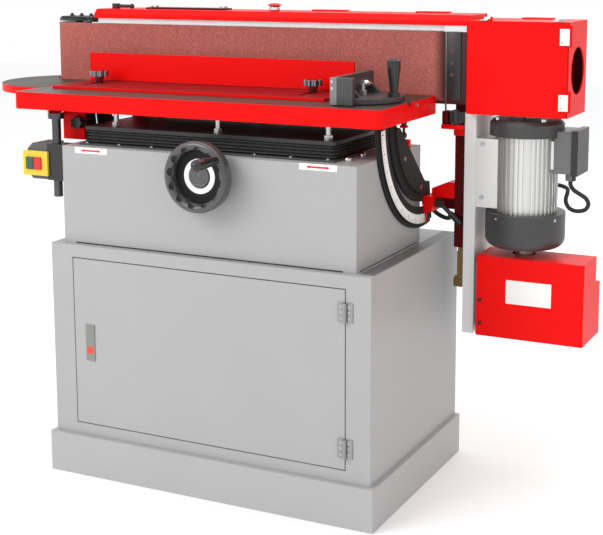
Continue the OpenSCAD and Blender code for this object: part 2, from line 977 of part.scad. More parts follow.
// Trunnion on a wall at x0 that faces +X
module trunnion(x0) {
    difference() {
        union() {
            trunnion_plate(trunnion_r - band_w, trunnion_a0, trunnion_a1, x0, x0 + trunnion_t);
            trunnion_plate(trunnion_r, trunnion_a0, trunnion_a1, x0, x0 + trunnion_t - band_drop);
            trunnion_plate(segment_r, segment_a0, segment_a1, x0, x0 + trunnion_t + segment_proud);
        }
        ring_sector(slot_r - tee_hw, slot_r + tee_hw, tee_a0, tee_a1, x0 - over, x0 + tee_depth);
        ring_sector(slot_r - slot_hw, slot_r + slot_hw, slot_a0, slot_a1, x0 - over, x0 + trunnion_t + over);
    }
}

module trunnions() {
    color("#202020") {
        trunnion(lift_x1);
        mirror([1, 0, 0]) trunnion(-lift_x0);
    }
}

module tilt_scale() {
    color("white") ring_sector(scale_r0, scale_r1, scale_a0, scale_a1, face_right, face_right + scale_t);
}

module dome_bolt() {
    cylinder(h = dome_base, r = dome_r);
    translate([0, 0, dome_base]) intersection() {
        sphere(dome_r);
        translate([-dome_r, -dome_r, 0]) cube([2 * dome_r, 2 * dome_r, dome_r]);
    }
}

module housing_bolts() {
    pitch = (flange_x1 - flange_x0 - 2 * flange_screw_end) / (flange_screws - 1);
    screw_x = face_right + segment_proud;
    flange_z = lift_z1 + flange_t;
    color("silver") {
        for (y = dome_ys)
            translate([dome_x, y, lift_z1]) dome_bolt();
        for (p = screw_at_shares)
            bar_x(trunnion_screw_r, screw_x, screw_x + trunnion_screw_h, pivot_y + p[0] * trunnion_r,
                pivot_z + p[1] * trunnion_r);
        for (i = [0:flange_screws - 1])
            bar_z(flange_screw_r, flange_z, flange_z + flange_screw_h, flange_x0 + flange_screw_end + i * pitch,
                flange_y0 + flange_screw_inset);
    }
}

module bevel_gearbox() {
    y0 = lift_y - gear_w / 2;
    color("dimgray") difference() {
        span([wheel_x - gear_w / 2, y0, gear_z0], [wheel_x + gear_w / 2, y0 + gear_w, lift_z1 - lift_wall]);
        bar_y(shaft_r + run, y0 - over, y0 + shaft_depth + over, wheel_x, wheel_z);
        bar_z(screw_r + run, gear_z0 - over, gear_z0 + screw_depth + over, wheel_x, lift_y);
    }
}

module guide_bushes() {
    y0 = lift_y0 - bush_flange_t;
    z1 = lift_z1 + post_bush_flange_t;
    color("goldenrod") {
        difference() {
            union() {
                bar_y(bush_r, y0, y0 + bush_l, wheel_x, wheel_z);
                bar_y(bush_flange_r, y0, lift_y0, wheel_x, wheel_z);
            }
            bar_y(shaft_r + run, y0 - over, y0 + bush_l + over, wheel_x, wheel_z);
        }
        for (x = post_xs) difference() {
            union() {
                bar_z(post_bush_r, z1 - bush_l, z1, x, lift_y);
                bar_z(post_bush_flange_r, lift_z1, z1, x, lift_y);
            }
            bar_z(post_r + run, z1 - bush_l - over, z1 + over, x, lift_y);
        }
    }
}

// Zigzag wall line from the flange up to the beam; dir is the way out
function pleat_line(p, dir) = [for (i = [0:2 * pleats])
    [p - dir * pleat_d * (1 - i % 2), i * bellows_h / (2 * pleats)]];
function flip(list) = [for (i = [len(list) - 1:-1:0]) list[i]];

// Pleated outline between two walls; a cut runs on past both ends by open
module pleat_outline(a, b, open) {
    low = pleat_line(a, -1);
    high = flip(pleat_line(b, 1));
    x0 = low[0][0];
    x1 = high[0][0];
    top = bellows_h + open;
    polygon(open > 0 ? concat([[x0, -open]], low, [[x0, top], [x1, top]], high, [[x1, -open]]) : concat(low, high));
}

module pleat_block(draw_in, open) {
    intersection() {
        translate([0, bellows_y1, 0]) rotate([90, 0, 0]) linear_extrude(bellows_y1 - bellows_y0)
            pleat_outline(bellows_x0 + draw_in, bellows_x1 - draw_in, open);
        translate([bellows_x0, 0, 0]) rotate([90, 0, 90]) linear_extrude(bellows_x1 - bellows_x0)
            pleat_outline(bellows_y0 + draw_in, bellows_y1 - draw_in, open);
    }
}

module bellows() {
    z1 = lift_z1 + flange_t;
    color("#181818") {
        difference() {
            round_block([flange_x0, flange_y0], [flange_x1, flange_y1], flange_corner, lift_z1, z1);
            span([bellows_x0 + bellows_rim, bellows_y0 + bellows_rim, lift_z1 - over],
                [bellows_x1 - bellows_rim, bellows_y1 - bellows_rim, z1 + over]);
        }
        translate([0, 0, z1]) difference() {
            pleat_block(0, 0);
            pleat_block(bellows_wall, over);
        }
    }
}

// Half section of the handwheel's rim and web, axis upright
module wheel_section() {
    inner_r = wheel_r - 2 * wheel_rim_r;
    translate([wheel_r - wheel_rim_r, wheel_rim_r]) circle(wheel_rim_r);
    translate([wheel_r - wheel_rim_r, wheel_rim_w - wheel_rim_r]) circle(wheel_rim_r);
    translate([inner_r, wheel_rim_r]) square([2 * wheel_rim_r, wheel_rim_w - 2 * wheel_rim_r]);
    translate([wheel_hub_r / 2, wheel_web_in]) square([wheel_r - wheel_rim_r - wheel_hub_r / 2, wheel_web_t]);
}

module handwheel() {
    color("#1a1a1a") {
        difference() {
            union() {
                translate([wheel_x, wheel_y, wheel_z]) rotate([-90, 0, 0]) rotate_extrude() wheel_section();
                bar_y(wheel_hub_r, wheel_y + wheel_hub_in, lift_y0 - bush_flange_t - pass, wheel_x, wheel_z);
                bar_y(shaft_r, wheel_y + wheel_hub_in, lift_y - gear_w / 2 + shaft_depth, wheel_x, wheel_z);
            }
            translate([wheel_x, wheel_y, wheel_z]) rotate([-90, 0, 0]) for (i = [0:wheel_lobes - 1])
                rotate((2 * i + 1) * 180 / wheel_lobes - grip_angle)
                    translate([wheel_r - 2 * wheel_rim_r, 0, -over])
                    cylinder(h = wheel_lobe_d + over, r = wheel_lobe_r);
            translate([wheel_x, wheel_y, wheel_z]) rotate([90, 0, 0]) rotate(grip_angle)
                translate([grip_at, 0, -wheel_front]) cylinder(h = 2 * wheel_front, r = grip_stud_r + run);
        }
    }
}

module wheel_grip() {
    color("#151515") translate([wheel_x, wheel_y - pass, wheel_z]) rotate([90, 0, 0]) rotate(grip_angle)
        translate([grip_at, 0, 0]) {
            rotate_extrude() polygon([[0, 0], [grip_r0, 0], [grip_r1, grip_l * grip_swell_share],
                [grip_r1, grip_l - grip_cap_l], [grip_cap_r, grip_l], [0, grip_l]]);
            translate([0, 0, -grip_stud_l]) cylinder(h = grip_stud_l + over, r = grip_stud_r);
        }
}

module lift_screw() {
    color("silver") bar_z(screw_r, screw_z0, gear_z0 + screw_depth, wheel_x, lift_y);
}

module lift_carriage() {
    color("dimgray") difference() {
        union() {
            span([post_xs[0] - yoke_over, lift_y - yoke_hw, yoke_z0],
                [post_xs[1] + yoke_over, lift_y + yoke_hw, yoke_z0 + yoke_h]);
            for (x = post_xs)
                bar_z(post_r, yoke_z0, beam_z0, x, lift_y);
        }
        bar_z(screw_r + run, yoke_z0 - over, yoke_z0 + yoke_h + over, wheel_x, lift_y);
    }
}

module support_beam() {
    color("#1c1c1c") difference() {
        round_block([bellows_x0, bellows_y0], [bellows_x1, bellows_y1], flange_corner, beam_z0, beam_z1);
        for (x = jack_xs, y = jack_ys)
            bar_z(jack_r + jack_fit, beam_z0 - over, beam_z1 + over, x, y);
    }
}

module jack_bolts() {
    color("silver") for (x = jack_xs, y = jack_ys) {
        bar_z(jack_r, beam_z0, web_z0, x, y);
        for (z = [beam_z1, web_z0 - nut_h])
            translate([x, y, z]) cylinder(h = nut_h, r = nut_r, $fn = 6);
    }
}

// Table outline drawn in by t
module table_block(t, z0, z1) {
    round_block([table_x0 + t, table_y0 + t], [table_x1 - t, table_y1 - t], table_corner - t, z0, z1);
}

module table_rim() {
    color("red") {
        difference() {
            table_block(0, table_z0, table_top_z);
            table_block(skirt_t, table_z0 - over, web_z0);
            table_block(plate_edge, plate_z0, table_top_z + over);
            span([table_x1 - 2 * plate_edge, mitre_y - slot_w / 2, table_top_z - slot_depth],
                [table_x1 + over, mitre_y + slot_w / 2, table_top_z + over]);
        }
        difference() {
            span([hanger_x0, hanger_y, lift_z1 + hanger_above], [hanger_x1, hanger_y + hanger_t, web_z0 - pass]);
            bar_y(star_stud_r + run, hanger_y - over, hanger_y + hanger_t + over, post_knob_x, post_knob_z);
        }
    }
}

module table_plate() {
    color("#5a5652") difference() {
        table_block(plate_edge + plate_fit, plate_z0, table_top_z);
        span([mitre_bar_x0 - pass, mitre_y - slot_w / 2, table_top_z - slot_depth],
            [table_x1 + over, mitre_y + slot_w / 2, table_top_z + over]);
        for (x = fence_knob_xs)
            bar_z(knob_stud_r + run, plate_z0 + over, table_top_z + over, x, fence_knob_y);
    }
}

module post_knob() {
    color("#151515") translate([post_knob_x, hanger_y - pass, post_knob_z]) rotate([90, 0, 0]) {
        translate([0, 0, -hanger_t]) cylinder(h = hanger_t + over, r = star_stud_r);
        linear_extrude(star_h) lobed(star_core_r, star_lobes, star_lobe_r);
    }
}

module fence() {
    x1 = fence_x1;
    z1 = fence_z0 + fence_t;
    color("red") difference() {
        union() {
            span([fence_x0, fence_rear - fence_foot_d, fence_z0], [x1, fence_rear, z1]);
            span([fence_x0, fence_rear - fence_t, fence_z0], [x1, fence_rear, fence_z0 + fence_h]);
        }
        for (x = fence_knob_xs) {
            span([x - fence_slot_hw, fence_slot_y0, fence_z0 - over], [x + fence_slot_hw, fence_slot_y1, z1 + over]);
            for (y = [fence_slot_y0, fence_slot_y1])
                bar_z(fence_slot_hw, fence_z0 - over, z1 + over, x, y);
        }
    }
}

module fence_knob(x) {
    z0 = fence_z0 + fence_t + pass;
    translate([x, fence_knob_y, 0]) {
        bar_z(knob_stud_r, plate_z0 + 2 * over, z0 + over, 0, 0);
        translate([0, 0, z0]) cylinder(h = knob_shank_h, r1 = knob_shank_r0, r2 = knob_shank_r1);
        translate([0, 0, z0 + knob_shank_h]) linear_extrude(knob_top_h) lobed(knob_top_r, knob_lobes, knob_lobe_r);
    }
}

module fence_knob_left() {
    color("silver") fence_knob(fence_knob_xs[0]);
}

module fence_knob_right() {
    color("silver") fence_knob(fence_knob_xs[1]);
}

module mitre_bar() {
    z0 = table_top_z - slot_depth + pass;
    z1 = table_top_z - pass;
    z_nut = mitre_z0 + mitre_base_t + pass;
    color("silver") {
        difference() {
            span([mitre_bar_x0, mitre_y - slot_w / 2 + slide, z0], [mitre_bar_x1, mitre_y + slot_w / 2 - slide, z1]);
            bar_z(mitre_pin_r + run, z0 + over, z1 + over, mitre_pivot_x + mitre_arc_r, mitre_y);
        }
        bar_z(mitre_spacer_r, table_top_z + pass, mitre_z0 - pass, mitre_pivot_x, mitre_y);
        bar_z(mitre_pin_r, z0, z_nut + mitre_nut_h + mitre_stud_top, mitre_pivot_x, mitre_y);
        translate([mitre_pivot_x, mitre_y, z_nut]) cylinder(h = mitre_nut_h, r = mitre_nut_r, $fn = 6);
    }
}

module mitre_head() {
    x1 = mitre_face_x + mitre_face_t;
    y0 = mitre_y - mitre_face_front;
    z1 = mitre_z0 + mitre_base_t;
    color("#3a3a3a") difference() {
        union() {
            intersection() {
                bar_z(mitre_base_r, mitre_z0, z1, x1, mitre_y);
                span([mitre_face_x, mitre_y - mitre_base_r, mitre_z0],
                    [x1 + mitre_base_r, mitre_y + mitre_base_r, z1]);
            }
            span([mitre_face_x, y0, mitre_z0], [x1, y0 + mitre_face_l, mitre_z0 + mitre_face_h]);
            span([mitre_face_x, y0, mitre_z0], [x1 + mitre_lug_w, y0 + mitre_lug_t, mitre_z0 + mitre_face_h]);
            for (k = [-1, 1])
                translate([x1 - over, mitre_y + k * mitre_web_at + mitre_web_t / 2, mitre_z0]) rotate([90, 0, 0])
                    linear_extrude(mitre_web_t) polygon([[0, 0], [mitre_web_l, 0], [0, mitre_web_l]]);
        }
        bar_z(mitre_pin_r + run, mitre_z0 - over, z1 + over, mitre_pivot_x, mitre_y);
        translate([mitre_pivot_x, mitre_y, mitre_z0 - over]) {
            rotate(-mitre_arc_a) rotate_extrude(angle = 2 * mitre_arc_a)
                translate([mitre_arc_r - mitre_arc_hw, 0]) square([2 * mitre_arc_hw, mitre_base_t + 2 * over]);
            for (a = [-mitre_arc_a, mitre_arc_a])
                rotate(a) translate([mitre_arc_r, 0, 0]) cylinder(h = mitre_base_t + 2 * over, r = mitre_arc_hw);
        }
    }
}

module mitre_grip() {
    z0 = mitre_z0 + mitre_base_t + pass;
    color("#151515") translate([mitre_pivot_x + mitre_arc_r, mitre_y, 0]) {
        bar_z(mitre_pin_r, table_top_z - slot_depth + pass + 2 * over, z0 + over, 0, 0);
        bar_z(mitre_collar_r, z0, z0 + mitre_collar_h, 0, 0);
        translate([0, 0, z0 + mitre_collar_h]) rotate_extrude() polygon([[0, 0], [mitre_grip_r0, 0],
            [mitre_grip_r1, mitre_grip_h * mitre_swell_share], [mitre_grip_r1, mitre_grip_h - mitre_grip_top],
            [mitre_grip_r0, mitre_grip_h], [0, mitre_grip_h]]);
    }
}

module end_table() {
    x1 = end_x + end_table_r;
    far = end_y + end_table_r + over;
    z0 = table_top_z - end_table_t - over;
    z1 = table_top_z + over;
    color("red") difference() {
        bar_z(end_table_r, table_top_z - end_table_t, table_top_z, end_x, end_y);
        span([table_x0 - end_gap, end_y - end_table_r, z0], [x1, far, z1]);
        bar_z(end_cut_r, z0, z1, idler_x, axis_y);
        span([idler_x - end_cut_r, axis_y, z0], [x1, far, z1]);
        span([idler_x, axis_y - end_cut_r, z0], [x1, far, z1]);
    }
}

module end_post() {
    reach = [end_boss_x - end_post_x, end_boss_y - end_post_y];
    color("#202020") {
        bar_z(end_post_r, lift_z1 - clamp_h - end_post_below, end_arm_z1, end_post_x, end_post_y);
        bar_z(end_eye_r, end_arm_z0, end_arm_z1, end_post_x, end_post_y);
        translate([end_post_x, end_post_y, end_arm_z0]) rotate(atan2(reach[1], reach[0]))
            translate([0, -end_arm_w / 2, 0]) cube([norm(reach), end_arm_w, end_arm_t]);
        bar_z(end_boss_r, end_arm_z0, table_top_z - end_table_t, end_boss_x, end_boss_y);
    }
}

module post_clamp() {
    color("#303030") difference() {
        span([clamp_x0, clamp_y0, lift_z1 - clamp_h], [lift_x0, clamp_y0 + clamp_d, lift_z1]);
        bar_z(end_post_r + run, lift_z1 - clamp_h - over, lift_z1 + over, end_post_x, end_post_y);
    }
}

// Wells that the two buttons run in
module button_wells() {
    for (i = [0, 1]) {
        x0 = button_x0 + i * (button_w + button_gap);
        span([x0 - slide, switch_y0 - switch_plate_t - over, button_z1 - button_h - slide],
            [x0 + button_w + slide, switch_y0 + button_well, button_z1 + slide]);
    }
}

module switch_box() {
    wide = clamp_x0 - switch_x0;
    color("#303030") difference() {
        translate([switch_x0, switch_y0 + switch_d, switch_z1 - switch_h]) rotate([90, 0, 0])
            linear_extrude(switch_d) polygon([[0, switch_chamfer], [switch_chamfer, 0], [wide, 0], [wide, switch_h],
                [switch_chamfer, switch_h], [0, switch_h - switch_chamfer]]);
        button_wells();
    }
}

module switch_plate() {
    color("gold") difference() {
        span([switch_plate_x0, switch_y0 - switch_plate_t, switch_plate_z1 - switch_plate_h],
            [switch_plate_x1, switch_y0, switch_plate_z1]);
        button_wells();
    }
}

module button(x0) {
    y0 = switch_y0 - switch_plate_t - button_proud;
    span([x0, y0, button_z1 - button_h], [x0 + button_w, y0 + button_l, button_z1]);
}

module start_button() {
    color("green") button(button_x0);
}

module stop_button() {
    color("firebrick") button(button_x0 + button_w + button_gap);
}

module column() {
    arm_y0 = pivot_y + block_rear;
    arm_z0 = bolt_z - arm_down;
    color("firebrick") {
        span([column_x0, column_y0, column_z0], [column_x0 + column_w, column_y0 + column_d, column_z1]);
        span([face_right + arm_in, arm_y0, arm_z0], [column_x0 + over, arm_y0 + arm_d, arm_z0 + arm_h]);
        bar_z(rod_r, column_z1 - over, belt_z1 - rod_short, rod_right[0], rod_right[1]);
    }
}

module left_arm() {
    y0 = pivot_y + left_arm_front;
    color("firebrick") {
        span([left_arm_x1 - left_arm_t, y0, bolt_z - block_h / 2], [left_arm_x1, y0 + left_arm_d, column_z1]);
        bar_z(rod_r, column_z1 - over, belt_z1 - rod_short, rod_left[0], rod_left[1]);
    }
}

// Clamp block with its T-bolt on a trunnion whose wall is at x0 and faces +X
module clamp_block(x0) {
    x1 = x0 + trunnion_t + block_gap;
    span([x1, pivot_y - block_front, bolt_z - block_h / 2],
        [x1 + block_t, pivot_y + block_rear, bolt_z + block_h / 2]);
    bar_x(bolt_r, x0 + pass, x1 + over, bolt_y, bolt_z);
    bar_x(bolt_head_r, x0 + pass, x0 + pass + bolt_head_t, bolt_y, bolt_z);
}

module clamp_blocks() {
    x1 = face_right + block_gap + block_t;
    hw = pointer_w / 2;
    color("red") {
        clamp_block(lift_x1);
        mirror([1, 0, 0]) clamp_block(-lift_x0);
        bar_x(stub_r, x1 - over, x1 + stub_l, bolt_y, bolt_z);
        translate([face_right + pointer_gap, pivot_y, bolt_z - block_h / 2]) rotate([90, 0, 90])
            linear_extrude(pointer_t) polygon([[-hw, over], [-hw, 0], [0, -pointer_h], [hw, 0], [hw, over]]);
    }
}

module tilt_lever() {
    x0 = face_right + block_gap + block_t + pass;
    color("#151515") translate([x0, bolt_y, bolt_z]) difference() {
        union() {
            bar_x(lever_hub_r, 0, lever_hub_l, 0, 0);
            translate([lever_hub_l / 2, 0, 0]) rotate([-lever_lean, 0, 0]) rotate([0, 180 - lever_splay, 0]) {
                cylinder(h = lever_l, r = lever_r);
                translate([0, 0, lever_l - lever_grip_l]) cylinder(h = lever_grip_l, r = lever_grip_r);
            }
        }
        bar_x(stub_r + run, -over, lever_hub_l + over, 0, 0);
    }
}

module clevis_link() {
    z1 = column_z0 - link_nut_h;
    color("#8a6d3b") translate([rod_right[0], rod_right[1], 0]) {
        translate([0, 0, z1]) cylinder(h = link_nut_h, r = link_nut_r, $fn = 6);
        span([-link_w / 2, -link_d / 2, z1 - link_h], [link_w / 2, link_d / 2, z1 + over]);
        bar_x(link_eye_r, link_eye_x0 - rod_right[0], link_eye_x1 - rod_right[0], 0, link_eye_z);
    }
}

// Guide block behind the platen, bored for a rod
module bush_block(p, z0, h) {
    difference() {
        span([p[0] - bush_hw, platen_y1 - over, z0], [p[0] + bush_hw, p[1] + bush_rear, z0 + h]);
        bar_z(rod_r + run, z0 - over, z0 + h + over, p[0], p[1]);
    }
}

module platen() {
    color("silver") {
        span([platen_x0, platen_y0, belt_z0 - platen_below], [platen_x1, platen_y1, strip_z0 + over]);
        span([strip_x0, belt_y, strip_z0], [strip_x1, belt_y + strip_d, strip_z1]);
        for (p = [rod_left, rod_right]) {
            bush_block(p, belt_z0 + bush_low_at, bush_low_h);
            bush_block(p, strip_z0 - bush_high_h, bush_high_h);
        }
        difference() {
            span([guide_x0, platen_y1 - over, tongue_z0 - guide_wall],
                [guide_x1, tongue_y1 + guide_wall, tongue_z1 + guide_wall]);
            span([guide_x0 - over, tongue_y0 - slide, tongue_z0 - slide],
                [guide_x1 + over, tongue_y1 + slide, tongue_z1 + slide]);
        }
        span([guard_x0, guard_y0, belt_z0 + guard_up], [guard_x1, guard_y0 + guard_t, strip_z1]);
        span([guard_x0, guard_y0, strip_z0], [guard_x1, belt_y - pass, strip_z1]);
    }
}

module stadium(r) {
    translate([idler_x, axis_y]) circle(r);
    translate([drive_x, axis_y]) circle(r);
    translate([idler_x, axis_y - r]) square([drum_span, 2 * r]);
}

module belt() {
    color("#7a3b34") translate([0, 0, belt_z0]) linear_extrude(belt_w) difference() {
        stadium(loop_r);
        stadium(loop_r - belt_t);
    }
}

// End view of the belt cover's box, drawn in by t
module cover_outline(t) {
    polygon([[cover_y0 + t, strip_z1 + t], [cover_y0 + t, cover_z1 - cover_bevel],
        [cover_y0 + cover_bevel, cover_z1 - t], [cover_y1 - t, cover_z1 - t], [cover_y1 - t, strip_z1 + t]]);
}

module belt_cover() {
    z0 = cover_z1 - cover_t - over;
    wide = hood_x0 - cover_x0;
    color("red") difference() {
        union() {
            translate([cover_x0, 0, 0]) rotate([90, 0, 90]) linear_extrude(wide) cover_outline(0);
            span([cover_x0, cover_y1 - cover_t, belt_z0 - cover_t], [hood_x0, cover_y1, strip_z1 + over]);
        }
        translate([cover_x0 + cover_t, 0, 0]) rotate([90, 0, 90]) linear_extrude(wide - 2 * cover_t)
            cover_outline(cover_t);
        bar_z(cover_stud_r + run, z0, cover_z1 + over, tension_x, tension_y);
        bar_z(cover_stud_r + run, z0, cover_z1 + over, cover_knob_x, cover_knob_y);
    }
}

module tension_lever() {
    color("#252525") translate([tension_x, tension_y, cover_z1 + pass]) {
        bar_z(cover_stud_r, -stud_depth, over, 0, 0);
        cylinder(h = tension_hub_h, r = tension_hub_r);
        bar_x(tension_arm_r, 0, tension_arm_l, 0, tension_hub_h / 2);
        translate([tension_arm_l, 0, tension_hub_h / 2]) sphere(tension_ball_r);
    }
}

module cover_knob() {
    edge_r = cover_knob_r - cover_knob_edge;
    color("silver") translate([cover_knob_x, cover_knob_y, cover_z1 + pass]) {
        bar_z(cover_stud_r, -stud_depth, over, 0, 0);
        rotate_extrude() polygon([[0, 0], [edge_r, 0], [cover_knob_r, cover_knob_edge],
            [cover_knob_r, cover_knob_h - cover_knob_edge], [edge_r, cover_knob_h], [0, cover_knob_h]]);
    }
}

module idler_carriage() {
    low_z1 = carriage_z0 + disc_t;
    high_z0 = carriage_z1 - disc_t;
    color("#252525") {
        bar_z(low_disc_r, carriage_z0, low_z1, idler_x, axis_y);
        span([idler_x, axis_y - low_disc_r, carriage_z0], [carriage_x1, axis_y + low_disc_r, low_z1]);
        bar_z(top_disc_r, high_z0, carriage_z1, idler_x, axis_y);
        span([idler_x, carriage_y0, high_z0], [carriage_x1, carriage_y1, carriage_z1]);
        span([carriage_x0, carriage_y0, carriage_z0], [carriage_x1, carriage_y1, carriage_z1]);
        span([carriage_x0, tongue_y0, tongue_z0], [tongue_x1, tongue_y1, tongue_z1]);
        bar_z(axle_r, carriage_z0, carriage_z1, idler_x, axis_y);
    }
}

module idler_drum() {
    color("dimgray") difference() {
        bar_z(drum_r, belt_z0, belt_z1, idler_x, axis_y);
        bar_z(axle_r + run, belt_z0 - over, belt_z1 + over, idler_x, axis_y);
    }
}

module drive_rotor() {
    cowl_z0 = motor_z0 - cowl_h;
    color("gray") {
        bar_z(drum_r, belt_z0, belt_z1, drive_x, axis_y);
        bar_z(shaft_r, cowl_z0 - shaft_down, belt_z1 + shaft_up, drive_x, axis_y);
        bar_z(coupling_r, cowl_z0 - coupling_down, cowl_z0 - coupling_down + coupling_h, drive_x, axis_y);
        bar_z(fan_r, cowl_z0 + fan_up, cowl_z0 + fan_up + fan_h, drive_x, axis_y);
    }
}

module hood_shell() {
    difference() {
        span([hood_x0, hood_y0, hood_z0], [hood_x1, hood_y1, hood_z1]);
        span([hood_x0 + hood_t, hood_y0 - over, hood_z0 + hood_t],
            [hood_x1 - hood_t, hood_y1 - hood_t, hood_z1 - hood_t]);
        span([hood_x0 - over, belt_y - mouth_front, belt_z0 - mouth_below],
            [hood_x0 + hood_t + over, axis_y + loop_r + mouth_rear, strip_z1]);
    }
}

module hood() {
    color("red") difference() {
        union() {
            hood_shell();
            bar_x(port_r + port_collar_t, hood_x1 - port_collar_l, hood_x1, axis_y, port_z);
            for (z = hood_hinge_zs) {
                for (z0 = [z - hood_barrel_h / 2 - pass - hood_lug_h, z + hood_barrel_h / 2 + pass]) {
                    bar_z(hood_barrel_r, z0, z0 + hood_lug_h, hood_hinge_x, hood_hinge_y);
                    span([hood_x1 - over, hood_hinge_y, z0],
                        [hood_hinge_x + hood_barrel_r, hood_y0 + hood_lug_in, z0 + hood_lug_h]);
                }
                bar_z(hood_pin_r, z - hood_barrel_h, z + hood_barrel_h, hood_hinge_x, hood_hinge_y);
            }
            for (x = [toggle_x0 - pass - toggle_ear_t, toggle_x1 + pass])
                span([x, toggle_y - toggle_ear_d / 2, hood_z1 - over],
                    [x + toggle_ear_t, toggle_y + toggle_ear_d / 2, toggle_z + toggle_up]);
        }
        bar_x(port_r, hood_x1 - port_collar_l - over, hood_x1 + over, axis_y, port_z);
        bar_z(shaft_hole_r, hood_z0 - over, hood_z0 + hood_t + over, drive_x, axis_y);
        bar_x(toggle_pin_r + run, toggle_x0 - 2 * toggle_ear_t, toggle_x1 + 2 * toggle_ear_t, toggle_y, toggle_z);
    }
}

module hood_door() {
    y1 = hood_y0 - pass;
    y0 = y1 - hood_door_t;
    color("red") difference() {
        union() {
            span([hood_x0, y0, hood_z0], [hood_x1 - hood_door_short, y1, hood_z1]);
            for (z = hood_hinge_zs) {
                bar_z(hood_barrel_r, z - hood_barrel_h / 2, z + hood_barrel_h / 2, hood_hinge_x, hood_hinge_y);
                span([hood_x1 - hood_tab_l, y0 - hood_tab_t, z - hood_barrel_h / 2],
                    [hood_hinge_x, y0 + over, z + hood_barrel_h / 2]);
            }
        }
        for (z = hood_hinge_zs)
            bar_z(hood_pin_r + run, z - hood_barrel_h, z + hood_barrel_h, hood_hinge_x, hood_hinge_y);
    }
}

module hood_latch() {
    z0 = hood_z1 + 2 * pass;
    color("silver") {
        bar_x(toggle_barrel_r, toggle_x0, toggle_x1, toggle_y, toggle_z);
        bar_x(toggle_pin_r, toggle_x0 - toggle_ear_t, toggle_x1 + toggle_ear_t, toggle_y, toggle_z);
        span([toggle_x0, toggle_y - toggle_l, z0], [toggle_x1, toggle_y, z0 + toggle_t]);
    }
}

module channel() {
    color("silver") difference() {
        union() {
            span([channel_x0, channel_y0, channel_z0], [channel_x1, channel_y1, hood_z0]);
            for (y = [channel_y0, channel_y1 - lip_t])
                span([channel_x0 - lip_w, y, channel_z0], [channel_x1, y + lip_t, hood_z0]);
        }
        bar_x(crank_r + crank_clear, channel_x0 - over, channel_x1 + over, rod_right[1], link_eye_z);
    }
}

module motor_body() {
    color("gainsboro") difference() {
        union() {
            bar_z(motor_core_r, motor_z0, motor_z1, drive_x, axis_y);
            for (i = [0:fin_count - 1])
                translate([drive_x, axis_y, 0]) rotate(i * 360 / fin_count)
                    span([motor_core_r - fin_root, -fin_t / 2, motor_z0], [motor_r, fin_t / 2, motor_z1]);
            span([channel_x1, foot_y0, motor_z0 + foot_inset], [foot_x1, foot_y1, motor_z1 - foot_inset]);
            span([drive_x + motor_core_r / 2, axis_y - pad_hw, motor_z0 + pad_low],
                [pad_x1, axis_y + pad_hw, motor_z0 + pad_low + pad_h]);
        }
        bar_z(shaft_r + run, motor_z0 - over, motor_z1 + over, drive_x, axis_y);
    }
}

// Half section of the fan cowl, axis upright
module cowl_section() {
    round_x = cowl_r - cowl_round;
    difference() {
        union() {
            translate([0, cowl_round]) square([cowl_r, cowl_h - cowl_round]);
            square([round_x, cowl_round + over]);
            translate([round_x, cowl_round]) circle(cowl_round);
        }
        translate([0, cowl_round]) square([cowl_r - cowl_t, cowl_h - cowl_round - cowl_t]);
        translate([0, cowl_t]) square([round_x, cowl_round]);
        translate([round_x, cowl_round]) circle(cowl_round - cowl_t);
    }
}

module motor_covers() {
    z0 = motor_z0 - cowl_h;
    color("#202020") translate([drive_x, axis_y, 0]) {
        difference() {
            translate([0, 0, motor_z1]) rotate_extrude() polygon([[0, 0], [flange_r, 0],
                [flange_r, flange_h - flange_edge], [flange_r - flange_edge, flange_h], [0, flange_h]]);
            bar_z(shaft_r + run, motor_z1 - over, motor_z1 + flange_h + over, 0, 0);
        }
        difference() {
            translate([0, 0, z0]) rotate_extrude() cowl_section();
            bar_z(cowl_hole_r, z0 - over, z0 + cowl_t + over, 0, 0);
            bar_z(shaft_r + pass, motor_z0 - cowl_t - over, motor_z0 + over, 0, 0);
        }
    }
}

module terminal_box() {
    z1 = term_z0 + term_h;
    lid_x0 = pad_x1 + term_w - term_lid;
    color("#303030") difference() {
        union() {
            span([pad_x1, term_y0, term_z0], [lid_x0, term_y0 + term_d, z1]);
            span([lid_x0, term_y0 - term_lid_edge, term_z0 - term_lid_edge],
                [pad_x1 + term_w, term_y0 + term_d + term_lid_edge, z1 + term_lid_edge]);
            bar_z(gland_r, term_z0 - gland_l, term_z0 + over, gland_x, gland_y);
        }
        bar_z(flange_r + pass, motor_z1 - pass, z1 + over, drive_x, axis_y);
    }
}

module gear_case() {
    color("dimgray") difference() {
        union() {
            span([channel_x1, case_y0, case_z0], [case_x1, case_y0 + case_d, case_z1]);
            bar_x(crank_r, crank_x0, channel_x1 + over, rod_right[1], link_eye_z);
        }
        bar_z(shaft_r + run, motor_z0 - cowl_h - shaft_down - over, case_z1 + over, drive_x, axis_y);
    }
}

module gear_guard() {
    x0 = guard_box_x0;
    x1 = guard_box_x1;
    y0 = guard_box_y0;
    z0 = guard_box_z0;
    z_step = guard_box_z0 + guard_box_step;
    t = guard_box_t;
    color("red") {
        difference() {
            union() {
                span([x0, y0, z0], [x1, guard_box_y1, z_step]);
                span([x0, y0, z0], [x1, guard_box_y2, guard_box_z1]);
            }
            span([x0 - over, y0 + t, z0 + t], [x1 - t, guard_box_y1 - t, z_step - t]);
            span([x0 - over, y0 + t, z0 + t], [x1 - t, guard_box_y2 - t, guard_box_z1 - t]);
            bar_z(guard_hole_r, guard_box_z1 - t - over, guard_box_z1 + over, drive_x, axis_y);
        }
        for (up = guard_bolt_ups) {
            bar_y(guard_bolt_r, y0 - over, case_y0, guard_bolt_x, z0 + up);
            bar_y(guard_bolt_head_r, y0 - guard_bolt_head_t, y0, guard_bolt_x, z0 + up);
        }
    }
}

module motor_cable() {
    color("#151515") tube(motor_cable_route, motor_cable_r, cable_sides);
}

